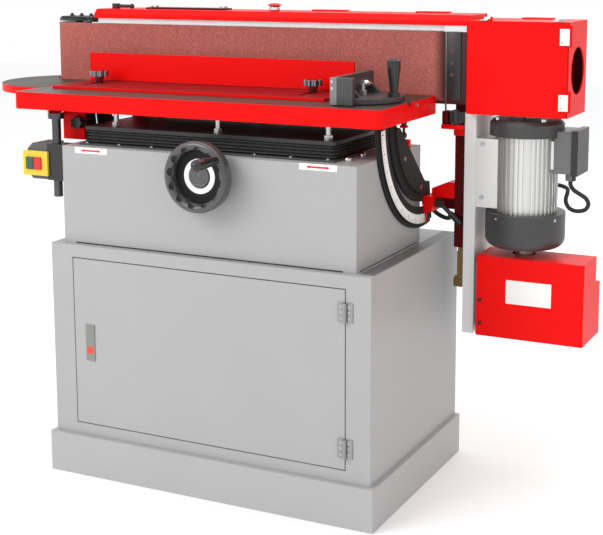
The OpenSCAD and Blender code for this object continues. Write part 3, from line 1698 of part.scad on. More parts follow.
module tilt_cable() {
    color("#151515") tube(tilt_cable_route, tilt_cable_r, cable_sides);
}

plinth();
cabinet();
lift_housing();
trunnions();
tilt_scale();
housing_bolts();
door_hinges();
bevel_gearbox();
guide_bushes();
bellows();
post_clamp();
switch_box();
switch_plate();
start_button();
stop_button();
tilt_cable();
door_panel();
door_leaves();
latch_case();
latch_button();
handwheel();
wheel_grip();
lift_screw();
lift_carriage();
support_beam();
jack_bolts();
table_rim();
table_plate();
post_knob();
fence();
fence_knob_left();
fence_knob_right();
mitre_bar();
mitre_head();
mitre_grip();
end_table();
end_post();
column();
left_arm();
clamp_blocks();
clevis_link();
tilt_lever();
platen();
belt();
belt_cover();
cover_knob();
tension_lever();
idler_carriage();
idler_drum();
drive_rotor();
hood();
hood_door();
hood_latch();
channel();
motor_body();
motor_covers();
terminal_box();
gear_case();
gear_guard();
motor_cable();
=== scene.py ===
"""Edge sander in its studio: finishes, cables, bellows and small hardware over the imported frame."""
import json
import logging
import math
from dataclasses import dataclass, field, replace
from enum import Enum
from typing import Dict, Iterable, List, Optional, Sequence, Tuple

import bmesh
import bpy
from mathutils import Matrix, Vector

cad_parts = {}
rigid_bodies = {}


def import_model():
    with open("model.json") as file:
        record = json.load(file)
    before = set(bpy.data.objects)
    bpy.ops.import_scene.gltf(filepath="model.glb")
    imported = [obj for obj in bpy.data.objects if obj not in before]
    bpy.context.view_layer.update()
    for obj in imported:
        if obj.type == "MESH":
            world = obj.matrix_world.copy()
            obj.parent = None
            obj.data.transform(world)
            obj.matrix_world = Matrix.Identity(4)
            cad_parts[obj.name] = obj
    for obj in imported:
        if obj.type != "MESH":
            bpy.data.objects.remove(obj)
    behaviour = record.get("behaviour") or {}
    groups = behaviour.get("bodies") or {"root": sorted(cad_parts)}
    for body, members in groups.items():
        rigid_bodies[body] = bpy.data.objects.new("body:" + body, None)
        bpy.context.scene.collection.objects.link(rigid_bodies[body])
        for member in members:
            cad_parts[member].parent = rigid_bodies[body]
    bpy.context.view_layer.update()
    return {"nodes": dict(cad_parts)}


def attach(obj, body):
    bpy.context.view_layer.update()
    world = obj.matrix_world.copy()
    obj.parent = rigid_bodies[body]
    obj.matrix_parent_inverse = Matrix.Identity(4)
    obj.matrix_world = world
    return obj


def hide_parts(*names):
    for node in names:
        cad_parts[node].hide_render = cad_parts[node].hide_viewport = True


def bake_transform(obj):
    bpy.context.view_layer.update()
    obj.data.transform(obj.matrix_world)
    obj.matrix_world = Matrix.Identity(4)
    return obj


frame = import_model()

LOG = logging.getLogger("edge_sander")
MM = 0.001
Colour = Tuple[float, float, float]
Point = Tuple[float, float, float]
Profile = Tuple[Tuple[float, float], ...]
Box = Tuple[Point, Point, float]
Head = Tuple[float, float]

UP: Point = (0, 0, 1)
RIGHT: Point = (1, 0, 0)
BACK: Point = (0, 1, 0)
FRONT: Point = (0, -1, 0)

SMOOTH_ANGLE = math.radians(35)
FOLD_ANGLE = math.radians(50)
TINY = 1e-6
ROUND_HEAD = 16
HEX_HEAD = 6
STICKER_EDGE = 0.1
# Share of the head's radius and corners of the drive: a socket in round heads, a dimple in hexagons.
SOCKET_DRIVE = (0.52, 6)
DIMPLE_DRIVE = (0.6, 18)
MARK_THICKNESS = 0.2 * MM

# Settings that all finishes share.
CLOUD_SCALE = 7.0
CLOUD_DETAIL = 4.0
FINE_DETAIL = 3.0
COAT_ROUGHNESS = 0.08
ROUGHNESS_SWING = 0.07
ROUGHNESS_LIMITS = (0.02, 1.0)
RELIEF_HEIGHT = 0.0006
EDGE_SAMPLES = 4
SPECK_DEPTH = 0.22
GRIT_DEPTH = 2.6
SPECK_RANGE = (0.35, 0.65)
EDGE_RANGE = (0.99, 0.8)
TOP_METALLIC = 0.02
TOP_DULL = 0.75
MIX_SHARE, MIX_LOW, MIX_HIGH, MIX_RESULT = 0, 6, 7, 2


def mm(x: float, y: float, z: float) -> Vector:
    """Turns a place in millimetres into metres."""
    return Vector((x, y, z)) * MM


class Grain(Enum):
    """Direction or kind of the fine texture of a finish."""

    PEEL = "sprayed paint"
    CAST = "sand casting"
    ALONG_X = "brushed along the belt"
    ALONG_Z = "brushed upright"
    GRIT = "bonded abrasive"
    SKIN = "moulded skin"


GRAIN_STRETCH: Dict[Grain, Point] = {
    Grain.PEEL: (1.0, 1.0, 1.0),
    Grain.CAST: (1.0, 1.0, 1.0),
    Grain.ALONG_X: (0.02, 1.0, 1.0),
    Grain.ALONG_Z: (1.0, 1.0, 0.02),
    Grain.GRIT: (1.0, 1.0, 1.0),
    Grain.SKIN: (1.0, 1.0, 1.0),
}


class NodeBoard:
    """Small helper that adds and joins the nodes of one tree."""

    def __init__(self, tree: bpy.types.NodeTree) -> None:
        """Keeps the tree that the nodes go into."""
        self.tree = tree

    def add(self, kind: str, **settings: object) -> bpy.types.Node:
        """Adds a node.

        Args:
            kind: Blender's name of the node type.
            settings: properties that are set on the node.

        Returns:
            The new node.
        """
        node = self.tree.nodes.new(kind)
        for key, value in settings.items():
            setattr(node, key, value)
        return node

    def join(self, source: bpy.types.NodeSocket, target: bpy.types.NodeSocket) -> None:
        """Links two sockets."""
        self.tree.links.new(source, target)


@dataclass(frozen=True)
class Finish:
    """One procedural surface finish, driven by Object coordinates."""

    name: str
    colour: Colour
    metallic: float = 0.0
    roughness: float = 0.4
    grain: Grain = Grain.PEEL
    grain_scale: float = 420.0
    bump: float = 0.06
    drift: float = 0.05
    coat: float = 0.0
    specular: float = 0.5
    edge: float = 0.7
    # Lighter edges: partly edge wear, partly painted edge highlight.
    wear_and_highlight: float = 0.0
    worn_and_highlit: Colour = (0.5, 0.5, 0.5)
    top_colour: Optional[Colour] = None
    top_level: float = 0.0
    shade_colour: Optional[Colour] = None
    shade_box: Tuple[Point, Point] = ((0.0, 0.0, 0.0), (0.0, 0.0, 0.0))
    shade_soft: float = 0.5

    def material(self) -> bpy.types.Material:
        """Gives the finish's material, built the first time it is asked for.

        Returns:
            The node material.
        """
        known = bpy.data.materials.get(self.name)
        return known if known is not None else self._build()

    def _build(self) -> bpy.types.Material:
        """Builds the node tree of the finish.

        Returns:
            The node material.
        """
        made = bpy.data.materials.new(self.name)
        made.use_nodes = True
        made.diffuse_color = (*self.colour, 1.0)
        board = NodeBoard(made.node_tree)
        shader = made.node_tree.nodes["Principled BSDF"]
        place = board.add("ShaderNodeTexCoord")
        shader.inputs["Metallic"].default_value = self.metallic
        shader.inputs["Specular IOR Level"].default_value = self.specular
        shader.inputs["Coat Weight"].default_value = self.coat
        shader.inputs["Coat Roughness"].default_value = COAT_ROUGHNESS
        cloud = board.add("ShaderNodeTexNoise")
        cloud.inputs["Scale"].default_value = CLOUD_SCALE
        cloud.inputs["Detail"].default_value = CLOUD_DETAIL
        board.join(place.outputs["Object"], cloud.inputs["Vector"])
        stretch = board.add("ShaderNodeMapping")
        stretch.inputs["Scale"].default_value = GRAIN_STRETCH[self.grain]
        board.join(place.outputs["Object"], stretch.inputs["Vector"])
        fine = board.add("ShaderNodeTexNoise")
        fine.inputs["Scale"].default_value = self.grain_scale
        fine.inputs["Detail"].default_value = FINE_DETAIL
        board.join(stretch.outputs["Vector"], fine.inputs["Vector"])
        colour = self._tinted(board, cloud, fine)
        soft = board.add("ShaderNodeBevel", samples=EDGE_SAMPLES)
        soft.inputs["Radius"].default_value = self.edge * MM
        # Lighter edges: partly edge wear, partly painted edge highlight.
        if self.wear_and_highlight > 0.0:
            colour = self._wear_and_highlight_edges(board, soft, fine, colour)
        if self.top_colour is not None:
            colour = self._topped(board, place, fine, colour, shader)
        if self.shade_colour is not None:
            colour = self._shaded(board, place, colour)
        board.join(colour, shader.inputs["Base Color"])
        rough = board.add("ShaderNodeMapRange")
        rough.inputs["To Min"].default_value = max(ROUGHNESS_LIMITS[0], self.roughness - ROUGHNESS_SWING)
        rough.inputs["To Max"].default_value = min(ROUGHNESS_LIMITS[1], self.roughness + ROUGHNESS_SWING)
        board.join(cloud.outputs["Fac"], rough.inputs["Value"])
        board.join(rough.outputs["Result"], shader.inputs["Roughness"])
        relief = board.add("ShaderNodeBump")
        relief.inputs["Strength"].default_value = self.bump
        relief.inputs["Distance"].default_value = RELIEF_HEIGHT
        board.join(fine.outputs["Fac"], relief.inputs["Height"])
        board.join(soft.outputs["Normal"], relief.inputs["Normal"])
        board.join(relief.outputs["Normal"], shader.inputs["Normal"])
        return made

    def _mix(self, board: NodeBoard, low: object, high: object,
             share: bpy.types.NodeSocket) -> bpy.types.NodeSocket:
        """Mixes two colours by a socket.

        Args:
            board: the tree being built.
            low: colour or socket at share 0.
            high: colour or socket at share 1.
            share: the socket that mixes them.

        Returns:
            The mixed colour socket.
        """
        mix = board.add("ShaderNodeMix", data_type="RGBA")
        for index, value in ((MIX_LOW, low), (MIX_HIGH, high)):
            if isinstance(value, bpy.types.NodeSocket):
                board.join(value, mix.inputs[index])
            else:
                mix.inputs[index].default_value = (*value, 1.0)
        board.join(share, mix.inputs[MIX_SHARE])
        return mix.outputs[MIX_RESULT]

    def _tinted(self, board: NodeBoard, cloud: bpy.types.Node, fine: bpy.types.Node) -> bpy.types.NodeSocket:
        """Lets the colour drift a little over the surface.

        Args:
            board: the tree being built.
            cloud: the broad noise.
            fine: the fine noise.

        Returns:
            The mixed colour socket.
        """
        low = tuple(max(0.0, c * (1.0 - self.drift)) for c in self.colour)
        high = tuple(min(1.0, c * (1.0 + self.drift)) for c in self.colour)
        base = self._mix(board, low, high, cloud.outputs["Fac"])
        if self.grain in (Grain.PEEL, Grain.SKIN):
            return base
        depth = GRIT_DEPTH if self.grain is Grain.GRIT else 1.0
        dark = tuple(max(0.0, c * (1.0 - depth * SPECK_DEPTH)) for c in self.colour)
        ramp = board.add("ShaderNodeMapRange")
        ramp.inputs["From Min"].default_value = SPECK_RANGE[0]
        ramp.inputs["From Max"].default_value = SPECK_RANGE[1]
        board.join(fine.outputs["Fac"], ramp.inputs["Value"])
        return self._mix(board, dark, base, ramp.outputs["Result"])

    def _wear_and_highlight_edges(self, board: NodeBoard, soft: bpy.types.Node, fine: bpy.types.Node,
              colour: bpy.types.NodeSocket) -> bpy.types.NodeSocket:
        """Lightens the finish along its edges: partly edge wear, partly painted edge highlight.

        Args:
            board: the tree being built.
            soft: the node that rounds the edges.
            fine: the fine noise.
            colour: colour away from the edges.

        Returns:
            The mixed colour socket.
        """
        flat = board.add("ShaderNodeNewGeometry")
        turn = board.add("ShaderNodeVectorMath", operation="DOT_PRODUCT")
        board.join(soft.outputs["Normal"], turn.inputs[0])
        board.join(flat.outputs["Normal"], turn.inputs[1])
        band = board.add("ShaderNodeMapRange")
        band.inputs["From Min"].default_value = EDGE_RANGE[0]
        band.inputs["From Max"].default_value = EDGE_RANGE[1]
        band.inputs["To Max"].default_value = self.wear_and_highlight
        board.join(turn.outputs["Value"], band.inputs["Value"])
        patch = board.add("ShaderNodeMath", operation="MULTIPLY")
        board.join(band.outputs["Result"], patch.inputs[0])
        board.join(fine.outputs["Fac"], patch.inputs[1])
        return self._mix(board, colour, self.worn_and_highlit, patch.outputs["Value"])

    def _topped(self, board: NodeBoard, place: bpy.types.Node, fine: bpy.types.Node,
                colour: bpy.types.NodeSocket, shader: bpy.types.Node) -> bpy.types.NodeSocket:
        """Gives the face above a level its own bare metal colour.

        Args:
            board: the tree being built.
            place: the coordinate node.
            fine: the fine noise.
            colour: colour below the level.
            shader: the shader, which turns a little metallic above the level.

        Returns:
            The mixed colour socket.
        """
        parts = board.add("ShaderNodeSeparateXYZ")
        board.join(place.outputs["Object"], parts.inputs["Vector"])
        above = board.add("ShaderNodeMath", operation="GREATER_THAN")
        above.inputs[1].default_value = self.top_level * MM
        board.join(parts.outputs["Z"], above.inputs[0])
        metal = board.add("ShaderNodeMath", operation="MULTIPLY")
        metal.inputs[1].default_value = TOP_METALLIC
        board.join(above.outputs["Value"], metal.inputs[0])
        board.join(metal.outputs["Value"], shader.inputs["Metallic"])
        dull = tuple(c * TOP_DULL for c in self.top_colour)
        bare = self._mix(board, dull, self.top_colour, fine.outputs["Fac"])
        return self._mix(board, colour, bare, above.outputs["Value"])

    def _shaded(self, board: NodeBoard, place: bpy.types.Node,
                colour: bpy.types.NodeSocket) -> bpy.types.NodeSocket:
        """Paints another colour over the surfaces inside a box: painted shade inside the hood, on the belt and
        the platen by the guard strip and on the cabinet's ledge, a painted reflection on the fence's base
        plate, and the darker lid of the terminal box and lighter face plate of the mitre.

        Args:
            board: the tree being built.
            place: the coordinate node.
            colour: colour outside the box.

        Returns:
            The mixed colour socket.
        """
        parts = board.add("ShaderNodeSeparateXYZ")
        board.join(place.outputs["Object"], parts.inputs["Vector"])
        inside: Optional[bpy.types.NodeSocket] = None
        for axis, low, high in zip("XYZ", *self.shade_box):
            off = board.add("ShaderNodeMath", operation="SUBTRACT")
            off.inputs[1].default_value = (low + high) / 2 * MM
            board.join(parts.outputs[axis], off.inputs[0])
            far = board.add("ShaderNodeMath", operation="ABSOLUTE")
            board.join(off.outputs["Value"], far.inputs[0])
            near = board.add("ShaderNodeMapRange")
            near.inputs["From Min"].default_value = (high - low) / 2 * MM
            near.inputs["From Max"].default_value = ((high - low) / 2 - self.shade_soft) * MM
            board.join(far.outputs["Value"], near.inputs["Value"])
            if inside is None:
                inside = near.outputs["Result"]
                continue
            both = board.add("ShaderNodeMath", operation="MULTIPLY")
            board.join(inside, both.inputs[0])
            board.join(near.outputs["Result"], both.inputs[1])
            inside = both.outputs["Value"]
        return self._mix(board, colour, self.shade_colour, inside)


IRON_TOP: Colour = (0.058, 0.044, 0.034)
TRUE_RED: Colour = (0.80, 0.0015, 0.001)
GREY_PAINT = Finish("cabinet_grey", (0.37, 0.37, 0.37), roughness=0.42, specular=0.3, bump=0.08, drift=0.03,
                    edge=1.6)
SHADE_PAINT = replace(GREY_PAINT, name="plinth_grey", colour=(0.39, 0.39, 0.39))
# Painted shadow: the right end of the cabinet's top ledge is darkened where the head's shadow falls.
CABINET_LEDGE_SHADOW_PAINT = replace(GREY_PAINT, name="stand_grey_ledge_shadow", shade_colour=(0.14, 0.14, 0.14),
                        shade_box=((352.0, -225.0, 524.0), (386.5, 249.0, 530.0)), shade_soft=3.0)
CHANNEL_PAINT = Finish("channel_grey", (0.72, 0.72, 0.72), roughness=0.42, specular=0.3, bump=0.06, drift=0.03)
RED_PAINT = Finish("machine_red", TRUE_RED, roughness=0.4, specular=0.12, edge=1.2, wear_and_highlight=0.05,
                   worn_and_highlit=(0.9, 0.05, 0.03))
# Painted reflection: the top face of the fence's base plate is darkened like a dim reflection.
FENCE_RED_BASE_REFLECTION = Finish("fence_red_base_reflection", TRUE_RED, roughness=0.4, specular=0.12, edge=1.0,
                   shade_colour=(0.24, 0.005, 0.007),
                   shade_box=((-478.0, -98.0, 858.0), (214.0, 60.0, 863.0)), shade_soft=1.0)
# Painted shade: a darker copy of the red paint for red parts drawn as if in shadow.
SHADOW_RED_PAINT = Finish("shadow_red", (0.085, 0.0012, 0.002), roughness=0.45, specular=0.12, edge=1.0)
# Painted shade: the inside of the hood is darkened.
HOOD_RED_INNER_SHADE = replace(RED_PAINT, name="hood_red_inner_shade", shade_colour=(0.03, 0.001, 0.001),
                   shade_box=((461.5, 98.0, 822.5), (675.5, 233.5, 1015.5)))
TABLE_RED = Finish("end_table_red", TRUE_RED, roughness=0.42, specular=0.15, top_colour=IRON_TOP,
                   top_level=853.6, grain_scale=300.0)
BLACK_PAINT = Finish("satin_black", (0.016, 0.016, 0.018), roughness=0.38, wear_and_highlight=0.25,
                     worn_and_highlit=(0.12, 0.12, 0.12))
BLACK_CAST = Finish("black_casting", (0.011, 0.011, 0.012), roughness=0.42, specular=0.22, grain=Grain.CAST,
                    grain_scale=260.0, bump=0.3, wear_and_highlight=0.3, worn_and_highlit=(0.14, 0.14, 0.14), edge=1.0)
WHEEL_BLACK = Finish("wheel_black", (0.06, 0.06, 0.062), roughness=0.28, coat=0.3, edge=1.5, wear_and_highlight=0.5,
                     worn_and_highlit=(0.4, 0.4, 0.4))
# Painted shade: a near black finish for the thin sheet that darkens the wheel's dish.
DISH_SHADE_SHEET = Finish("dish_painted_shade", (0.009, 0.009, 0.009), roughness=0.5, specular=0.2, grain=Grain.CAST,
                    grain_scale=300.0, bump=0.15)
RAW_CAST = Finish("raw_casting", (0.13, 0.13, 0.135), metallic=0.5, roughness=0.5, grain=Grain.CAST,
                  grain_scale=240.0, bump=0.35)
TABLE_IRON = Finish("ground_table_top", IRON_TOP, metallic=0.12, roughness=0.38, specular=0.3,
                    grain=Grain.ALONG_X, grain_scale=900.0, bump=0.05, drift=0.1)
BRIGHT_STEEL = Finish("bright_zinc", (0.66, 0.66, 0.65), metallic=1.0, roughness=0.24, grain=Grain.CAST,
                      grain_scale=700.0, bump=0.04)
SHAFT_STEEL = Finish("ground_steel", (0.55, 0.55, 0.56), metallic=1.0, roughness=0.28, grain=Grain.ALONG_Z,
                     grain_scale=900.0, bump=0.06)
# Painted shade, tinted dark reddish like the belt: the platen is darkened beside the guard strip.
PLATEN_STEEL_SHADED = Finish("platen_steel_painted_shade", (0.82, 0.82, 0.82), metallic=0.55, roughness=0.38, grain=Grain.ALONG_X,
                      grain_scale=900.0, bump=0.06, shade_colour=(0.06, 0.026, 0.024),
                      shade_box=((380.0, 105.0, 830.0), (470.0, 140.0, 993.0)))
POLISHED_DARK = Finish("dark_polished_steel", (0.11, 0.11, 0.115), metallic=1.0, roughness=0.22,
                       grain=Grain.ALONG_Z, grain_scale=700.0, bump=0.03)
CHROME = Finish("polished_chrome", (0.78, 0.78, 0.79), metallic=1.0, roughness=0.1, bump=0.01)
DARK_CHROME = Finish("dark_chrome", (0.27, 0.27, 0.28), metallic=1.0, roughness=0.14, bump=0.01)
MITRE_GREY = Finish("mitre_grey", (0.07, 0.072, 0.075), metallic=0.3, roughness=0.4, grain=Grain.CAST,
                    grain_scale=260.0, bump=0.2, wear_and_highlight=0.5, worn_and_highlit=(0.4, 0.4, 0.41), edge=1.2,
                    shade_colour=(0.22, 0.22, 0.225),
                    shade_box=((250.0, -164.0, 850.0), (273.0, -145.5, 915.0)))
HINGE_STEEL = Finish("hinge_steel", (0.34, 0.34, 0.34), metallic=0.7, roughness=0.36, grain=Grain.CAST,
                     grain_scale=700.0, bump=0.06)
HUB_GREY = Finish("hub_grey", (0.14, 0.14, 0.14), metallic=0.7, roughness=0.34, grain=Grain.CAST,
                  grain_scale=600.0, bump=0.08)
BRONZE = Finish("plain_bronze", (0.26, 0.17, 0.07), metallic=0.9, roughness=0.42, grain=Grain.CAST,
                grain_scale=320.0, bump=0.2)
ALLOY = Finish("motor_alloy", (0.84, 0.84, 0.84), metallic=0.25, roughness=0.42, grain=Grain.CAST,
               grain_scale=520.0, bump=0.16, edge=0.5)
# Painted shadow: the belt fades dark towards the guard strip's edge.
BELT_CLOTH_SHADOWED = Finish("abrasive_belt_painted_shadow", (0.55, 0.16, 0.135), roughness=0.9, grain=Grain.GRIT, grain_scale=700.0,
                    specular=0.2, bump=0.55, drift=0.16, edge=0.2, shade_colour=(0.03, 0.012, 0.011),
                    shade_box=((374.0, 100.0, 830.0), (460.0, 140.0, 1010.0)), shade_soft=22.0)
RUBBER = Finish("bellows_rubber", (0.045, 0.045, 0.046), roughness=0.4, grain=Grain.SKIN, grain_scale=300.0,
                bump=0.1)
JACKET = Finish("cable_jacket", (0.012, 0.012, 0.013), roughness=0.4, specular=0.3, grain=Grain.SKIN,
                grain_scale=380.0, bump=0.1)
BLACK_PLASTIC = Finish("black_plastic", (0.012, 0.012, 0.013), roughness=0.2, specular=0.35, grain=Grain.SKIN,
                       grain_scale=300.0, bump=0.04, edge=0.8)
GREY_PLASTIC = Finish("dark_grey_plastic", (0.075, 0.077, 0.08), roughness=0.45, grain=Grain.SKIN,
                      grain_scale=600.0, bump=0.12, edge=0.8)
TERMINAL_GREY = Finish("terminal_grey", (0.13, 0.132, 0.135), roughness=0.4, grain=Grain.SKIN,
                       grain_scale=500.0, bump=0.08, edge=1.6, shade_colour=(0.014, 0.014, 0.015),
                       shade_box=((677.0, 100.0, 600.0), (700.0, 260.0, 800.0)))
COWL_BLACK = Finish("cowl_black", (0.05, 0.05, 0.051), roughness=0.42, grain=Grain.CAST, grain_scale=380.0,
                    bump=0.22, edge=0.9)
YELLOW_PLASTIC = Finish("yellow_plate", (0.72, 0.50, 0.03), roughness=0.4, grain=Grain.SKIN, bump=0.04)
GREEN_PLASTIC = Finish("green_button", (0.03, 0.095, 0.06), roughness=0.3, grain=Grain.SKIN, bump=0.03)
RED_PLASTIC = Finish("red_button", (0.58, 0.02, 0.02), roughness=0.3, grain=Grain.SKIN, bump=0.03)
LATCH_GREY = Finish("latch_grey", (0.21, 0.21, 0.20), roughness=0.4, grain=Grain.SKIN, grain_scale=600.0,
                    bump=0.1)
ORANGE_PLASTIC = Finish("orange_button", (0.75, 0.055, 0.02), roughness=0.3, grain=Grain.SKIN, bump=0.03)
WHITE_STRIP = Finish("white_strip", (0.82, 0.82, 0.80), roughness=0.5, grain=Grain.SKIN, bump=0.02,
                     drift=0.02)
DIAL_SILVER = Finish("dial_silver", (0.84, 0.84, 0.84), metallic=0.2, roughness=0.35, grain=Grain.SKIN,
                     bump=0.02)
HOLE_BROWN = Finish("hole_brown", (0.17, 0.06, 0.055), roughness=0.8, grain=Grain.GRIT, grain_scale=1500.0,
                    bump=0.2)
INK_BLACK = Finish("scale_ink", (0.02, 0.02, 0.02), roughness=0.6, grain=Grain.SKIN, bump=0.02)
ARROW_RED = Finish("arrow_red", (0.7, 0.02, 0.02), roughness=0.5, grain=Grain.SKIN, bump=0.02)
PALE_FLOOR = Finish("pale_floor", (0.95, 0.95, 0.95), roughness=0.7, bump=0.01, drift=0.01)

NODE_FINISH: Dict[str, Finish] = {
    "plinth": SHADE_PAINT, "cabinet": CABINET_LEDGE_SHADOW_PAINT, "lift_housing": GREY_PAINT, "door_panel": GREY_PAINT,
    "trunnions": BLACK_CAST, "tilt_scale": WHITE_STRIP, "housing_bolts": BRIGHT_STEEL,
    "door_hinges": HINGE_STEEL, "door_leaves": HINGE_STEEL, "bevel_gearbox": RAW_CAST,
    "guide_bushes": BRONZE, "bellows": RUBBER, "post_clamp": BLACK_PAINT, "switch_box": GREY_PLASTIC,
    "switch_plate": YELLOW_PLASTIC, "tilt_cable": JACKET, "latch_case": LATCH_GREY,
    "latch_button": ORANGE_PLASTIC, "start_button": GREEN_PLASTIC, "stop_button": RED_PLASTIC,
    "handwheel": WHEEL_BLACK, "wheel_grip": BLACK_PLASTIC, "lift_screw": BRIGHT_STEEL,
    "lift_carriage": SHAFT_STEEL, "support_beam": BLACK_PAINT, "jack_bolts": BRIGHT_STEEL,
    "table_rim": RED_PAINT, "table_plate": TABLE_IRON, "post_knob": BLACK_PLASTIC, "fence": FENCE_RED_BASE_REFLECTION,
    "fence_knob_left": DARK_CHROME, "fence_knob_right": DARK_CHROME, "mitre_bar": SHAFT_STEEL,
    "mitre_head": MITRE_GREY, "mitre_grip": BLACK_PLASTIC, "end_table": TABLE_RED, "end_post": POLISHED_DARK,
    "column": SHADOW_RED_PAINT, "left_arm": SHADOW_RED_PAINT, "clamp_blocks": RED_PAINT, "clevis_link": BRONZE,
    "tilt_lever": BLACK_PLASTIC,
    "platen": PLATEN_STEEL_SHADED, "belt": BELT_CLOTH_SHADOWED, "belt_cover": RED_PAINT, "hood": HOOD_RED_INNER_SHADE,
    "hood_door": RED_PAINT, "channel": CHANNEL_PAINT, "motor_body": ALLOY, "motor_covers": COWL_BLACK,
    "terminal_box": TERMINAL_GREY, "gear_case": RAW_CAST, "gear_guard": RED_PAINT, "motor_cable": JACKET,
    "idler_carriage": BLACK_PAINT, "idler_drum": ALLOY, "tension_lever": BLACK_PAINT,
    "drive_rotor": BRIGHT_STEEL, "hood_latch": BRIGHT_STEEL, "cover_knob": CHROME,
}


def place_mesh(name: str, mesh: bpy.types.Mesh, finish: Finish) -> bpy.types.Object:
    """Puts a mesh into the scene at the origin with its finish.

    Args:
        name: name of the piece.
        mesh: mesh in the machine's frame, in metres.
        finish: finish of the piece.

    Returns:
        The new object.
    """
    mesh.materials.clear()
    mesh.materials.append(finish.material())
    piece = bpy.data.objects.new(name, mesh)
    bpy.context.scene.collection.objects.link(piece)
    return piece


def shade_smooth(mesh: bpy.types.Mesh, angle: float = SMOOTH_ANGLE) -> None:
    """Shades a mesh smooth, apart from its sharp edges."""
    mesh.polygons.foreach_set("use_smooth", [True] * len(mesh.polygons))
    mesh.set_sharp_from_angle(angle=angle)


class Shape:
    """A mesh under construction, in millimetres of the machine's frame."""

    def __init__(self) -> None:
        """Starts an empty mesh."""
        self.bm = bmesh.new()

    def box(self, low: Point, high: Point, bevel: float = 0.0, segments: int = 2) -> "Shape":
        """Adds a box between two corners.

        Args:
            low: lowest corner.
            high: highest corner.
            bevel: width of the rounded edges.
            segments: steps of each rounded edge.

        Returns:
            The shape itself.
        """
        middle = Matrix.Translation([(a + b) / 2 for a, b in zip(low, high)])
        size = Matrix.Diagonal([b - a for a, b in zip(low, high)] + [1.0])
        made = bmesh.ops.create_cube(self.bm, size=1.0, matrix=middle @ size)
        if bevel > 0.0:
            edges = list({edge for vert in made["verts"] for edge in vert.link_edges})
            bmesh.ops.bevel(self.bm, geom=edges, offset=bevel, segments=segments, profile=0.5, affect="EDGES")
        return self

    def boxes(self, boxes: Iterable[Box]) -> "Shape":
        """Adds several boxes, each given by two corners and the width of its rounded edges.

        Args:
            boxes: the boxes.

        Returns:
            The shape itself.
        """
        for low, high, bevel in boxes:
            self.box(low, high, bevel)
        return self

    def rod(self, radius: float, height: float, centre: Point, axis: Point, steps: int) -> "Shape":
        """Adds a plain round rod that stands on its centre."""
        return self.turned(((0, 0), (radius, 0), (radius, height), (0, height)), centre, axis, steps)

    def turned(self, profile: Sequence[Tuple[float, float]], centre: Point, axis: Point,
               steps: int = 40) -> "Shape":
        """Turns a profile round an axis.

        Args:
            profile: pairs of radius and height along the axis, from one end to the other.
            centre: place of height zero.
            axis: direction of the height.
            steps: points of each ring.

        Returns:
            The shape itself.
        """
        turn = Vector(UP).rotation_difference(Vector(axis)).to_matrix()
        rings: List[List[bmesh.types.BMVert]] = []
        for radius, height in profile:
            count = steps if radius > TINY else 1
            ring = []
            for k in range(count):
                a = 2 * math.pi * k / count
                flat = Vector((radius * math.cos(a), radius * math.sin(a), height))
                ring.append(self.bm.verts.new(Vector(centre) + turn @ flat))
            rings.append(ring)
        for one, two in zip(rings, rings[1:]):
            self.bridge(one, two, steps)
        for ring in (rings[0], rings[-1]):
            if len(ring) > 1:
                self.bm.faces.new(ring)
        return self

    def bridge(self, one: List[bmesh.types.BMVert], two: List[bmesh.types.BMVert], steps: int) -> None:
        """Joins two rings, one of which may be a single point.

        Args:
            one: corners of the first ring.
            two: corners of the second ring.
            steps: corners of the longer ring.
        """
        for k in range(steps):
            nxt = (k + 1) % steps
            corners = [one[k % len(one)], one[nxt % len(one)], two[nxt % len(two)], two[k % len(two)]]
            unique = list(dict.fromkeys(corners))
            if len(unique) > 2:
                self.bm.faces.new(unique)

    def ring(self, inner: float, outer: float, height: float, centre: Point, axis: Point,
             steps: int = 56) -> "Shape":
        """Adds a flat ring standing on a plane.

        Args:
            inner: inner radius.
            outer: outer radius.
            height: thickness along the axis.
            centre: middle of its seat.
            axis: direction in which it stands.
            steps: points round it.

        Returns:
            The shape itself.
        """
        turn = Vector(UP).rotation_difference(Vector(axis)).to_matrix()
        soft = min(height, outer - inner) * 0.25
        section = [(inner, 0), (outer, 0), (outer, height - soft), (outer - soft, height),
                   (inner + soft, height), (inner, height - soft)]
        angles = [2 * math.pi * k / steps for k in range(steps)]
        rings = []
        for radius, lift in section:
            corners = [Vector((radius * math.cos(a), radius * math.sin(a), lift)) for a in angles]
            rings.append([self.bm.verts.new(Vector(centre) + turn @ corner) for corner in corners])
        for one, two in zip(rings, rings[1:] + rings[:1]):
            self.bridge(one, two, steps)
        return self

    def prism(self, outline: Sequence[Tuple[float, float]], origin: Point, across: Point, up: Point,
              depth: float) -> "Shape":
        """Pushes a flat outline out of its plane.

        Args:
            outline: corner points in the plane.
            origin: zero of the plane.
            across: first direction of the plane.
            up: second direction of the plane.
            depth: length of the push along across x up.

        Returns:
            The shape itself.
        """
        u, v = Vector(across), Vector(up)
        w = u.cross(v) * depth
        near = [self.bm.verts.new(Vector(origin) + u * a + v * b) for a, b in outline]
        far = [self.bm.verts.new(vert.co + w) for vert in near]
        self.bm.faces.new(near)
        self.bm.faces.new(far)
        self.bridge(near, far, len(near))
        return self

    def mesh(self, name: str, angle: float = SMOOTH_ANGLE) -> bpy.types.Mesh:
        """Turns the shape into a smooth mesh in metres.

        Args:
            name: name of the mesh.
            angle: edges that turn more than this stay sharp.

        Returns:
            The mesh.
        """
        bmesh.ops.scale(self.bm, vec=(MM, MM, MM), verts=self.bm.verts)
        bmesh.ops.recalc_face_normals(self.bm, faces=self.bm.faces)
        mesh = bpy.data.meshes.new(name)
        self.bm.to_mesh(mesh)
        self.bm.free()
        shade_smooth(mesh, angle)
        return mesh

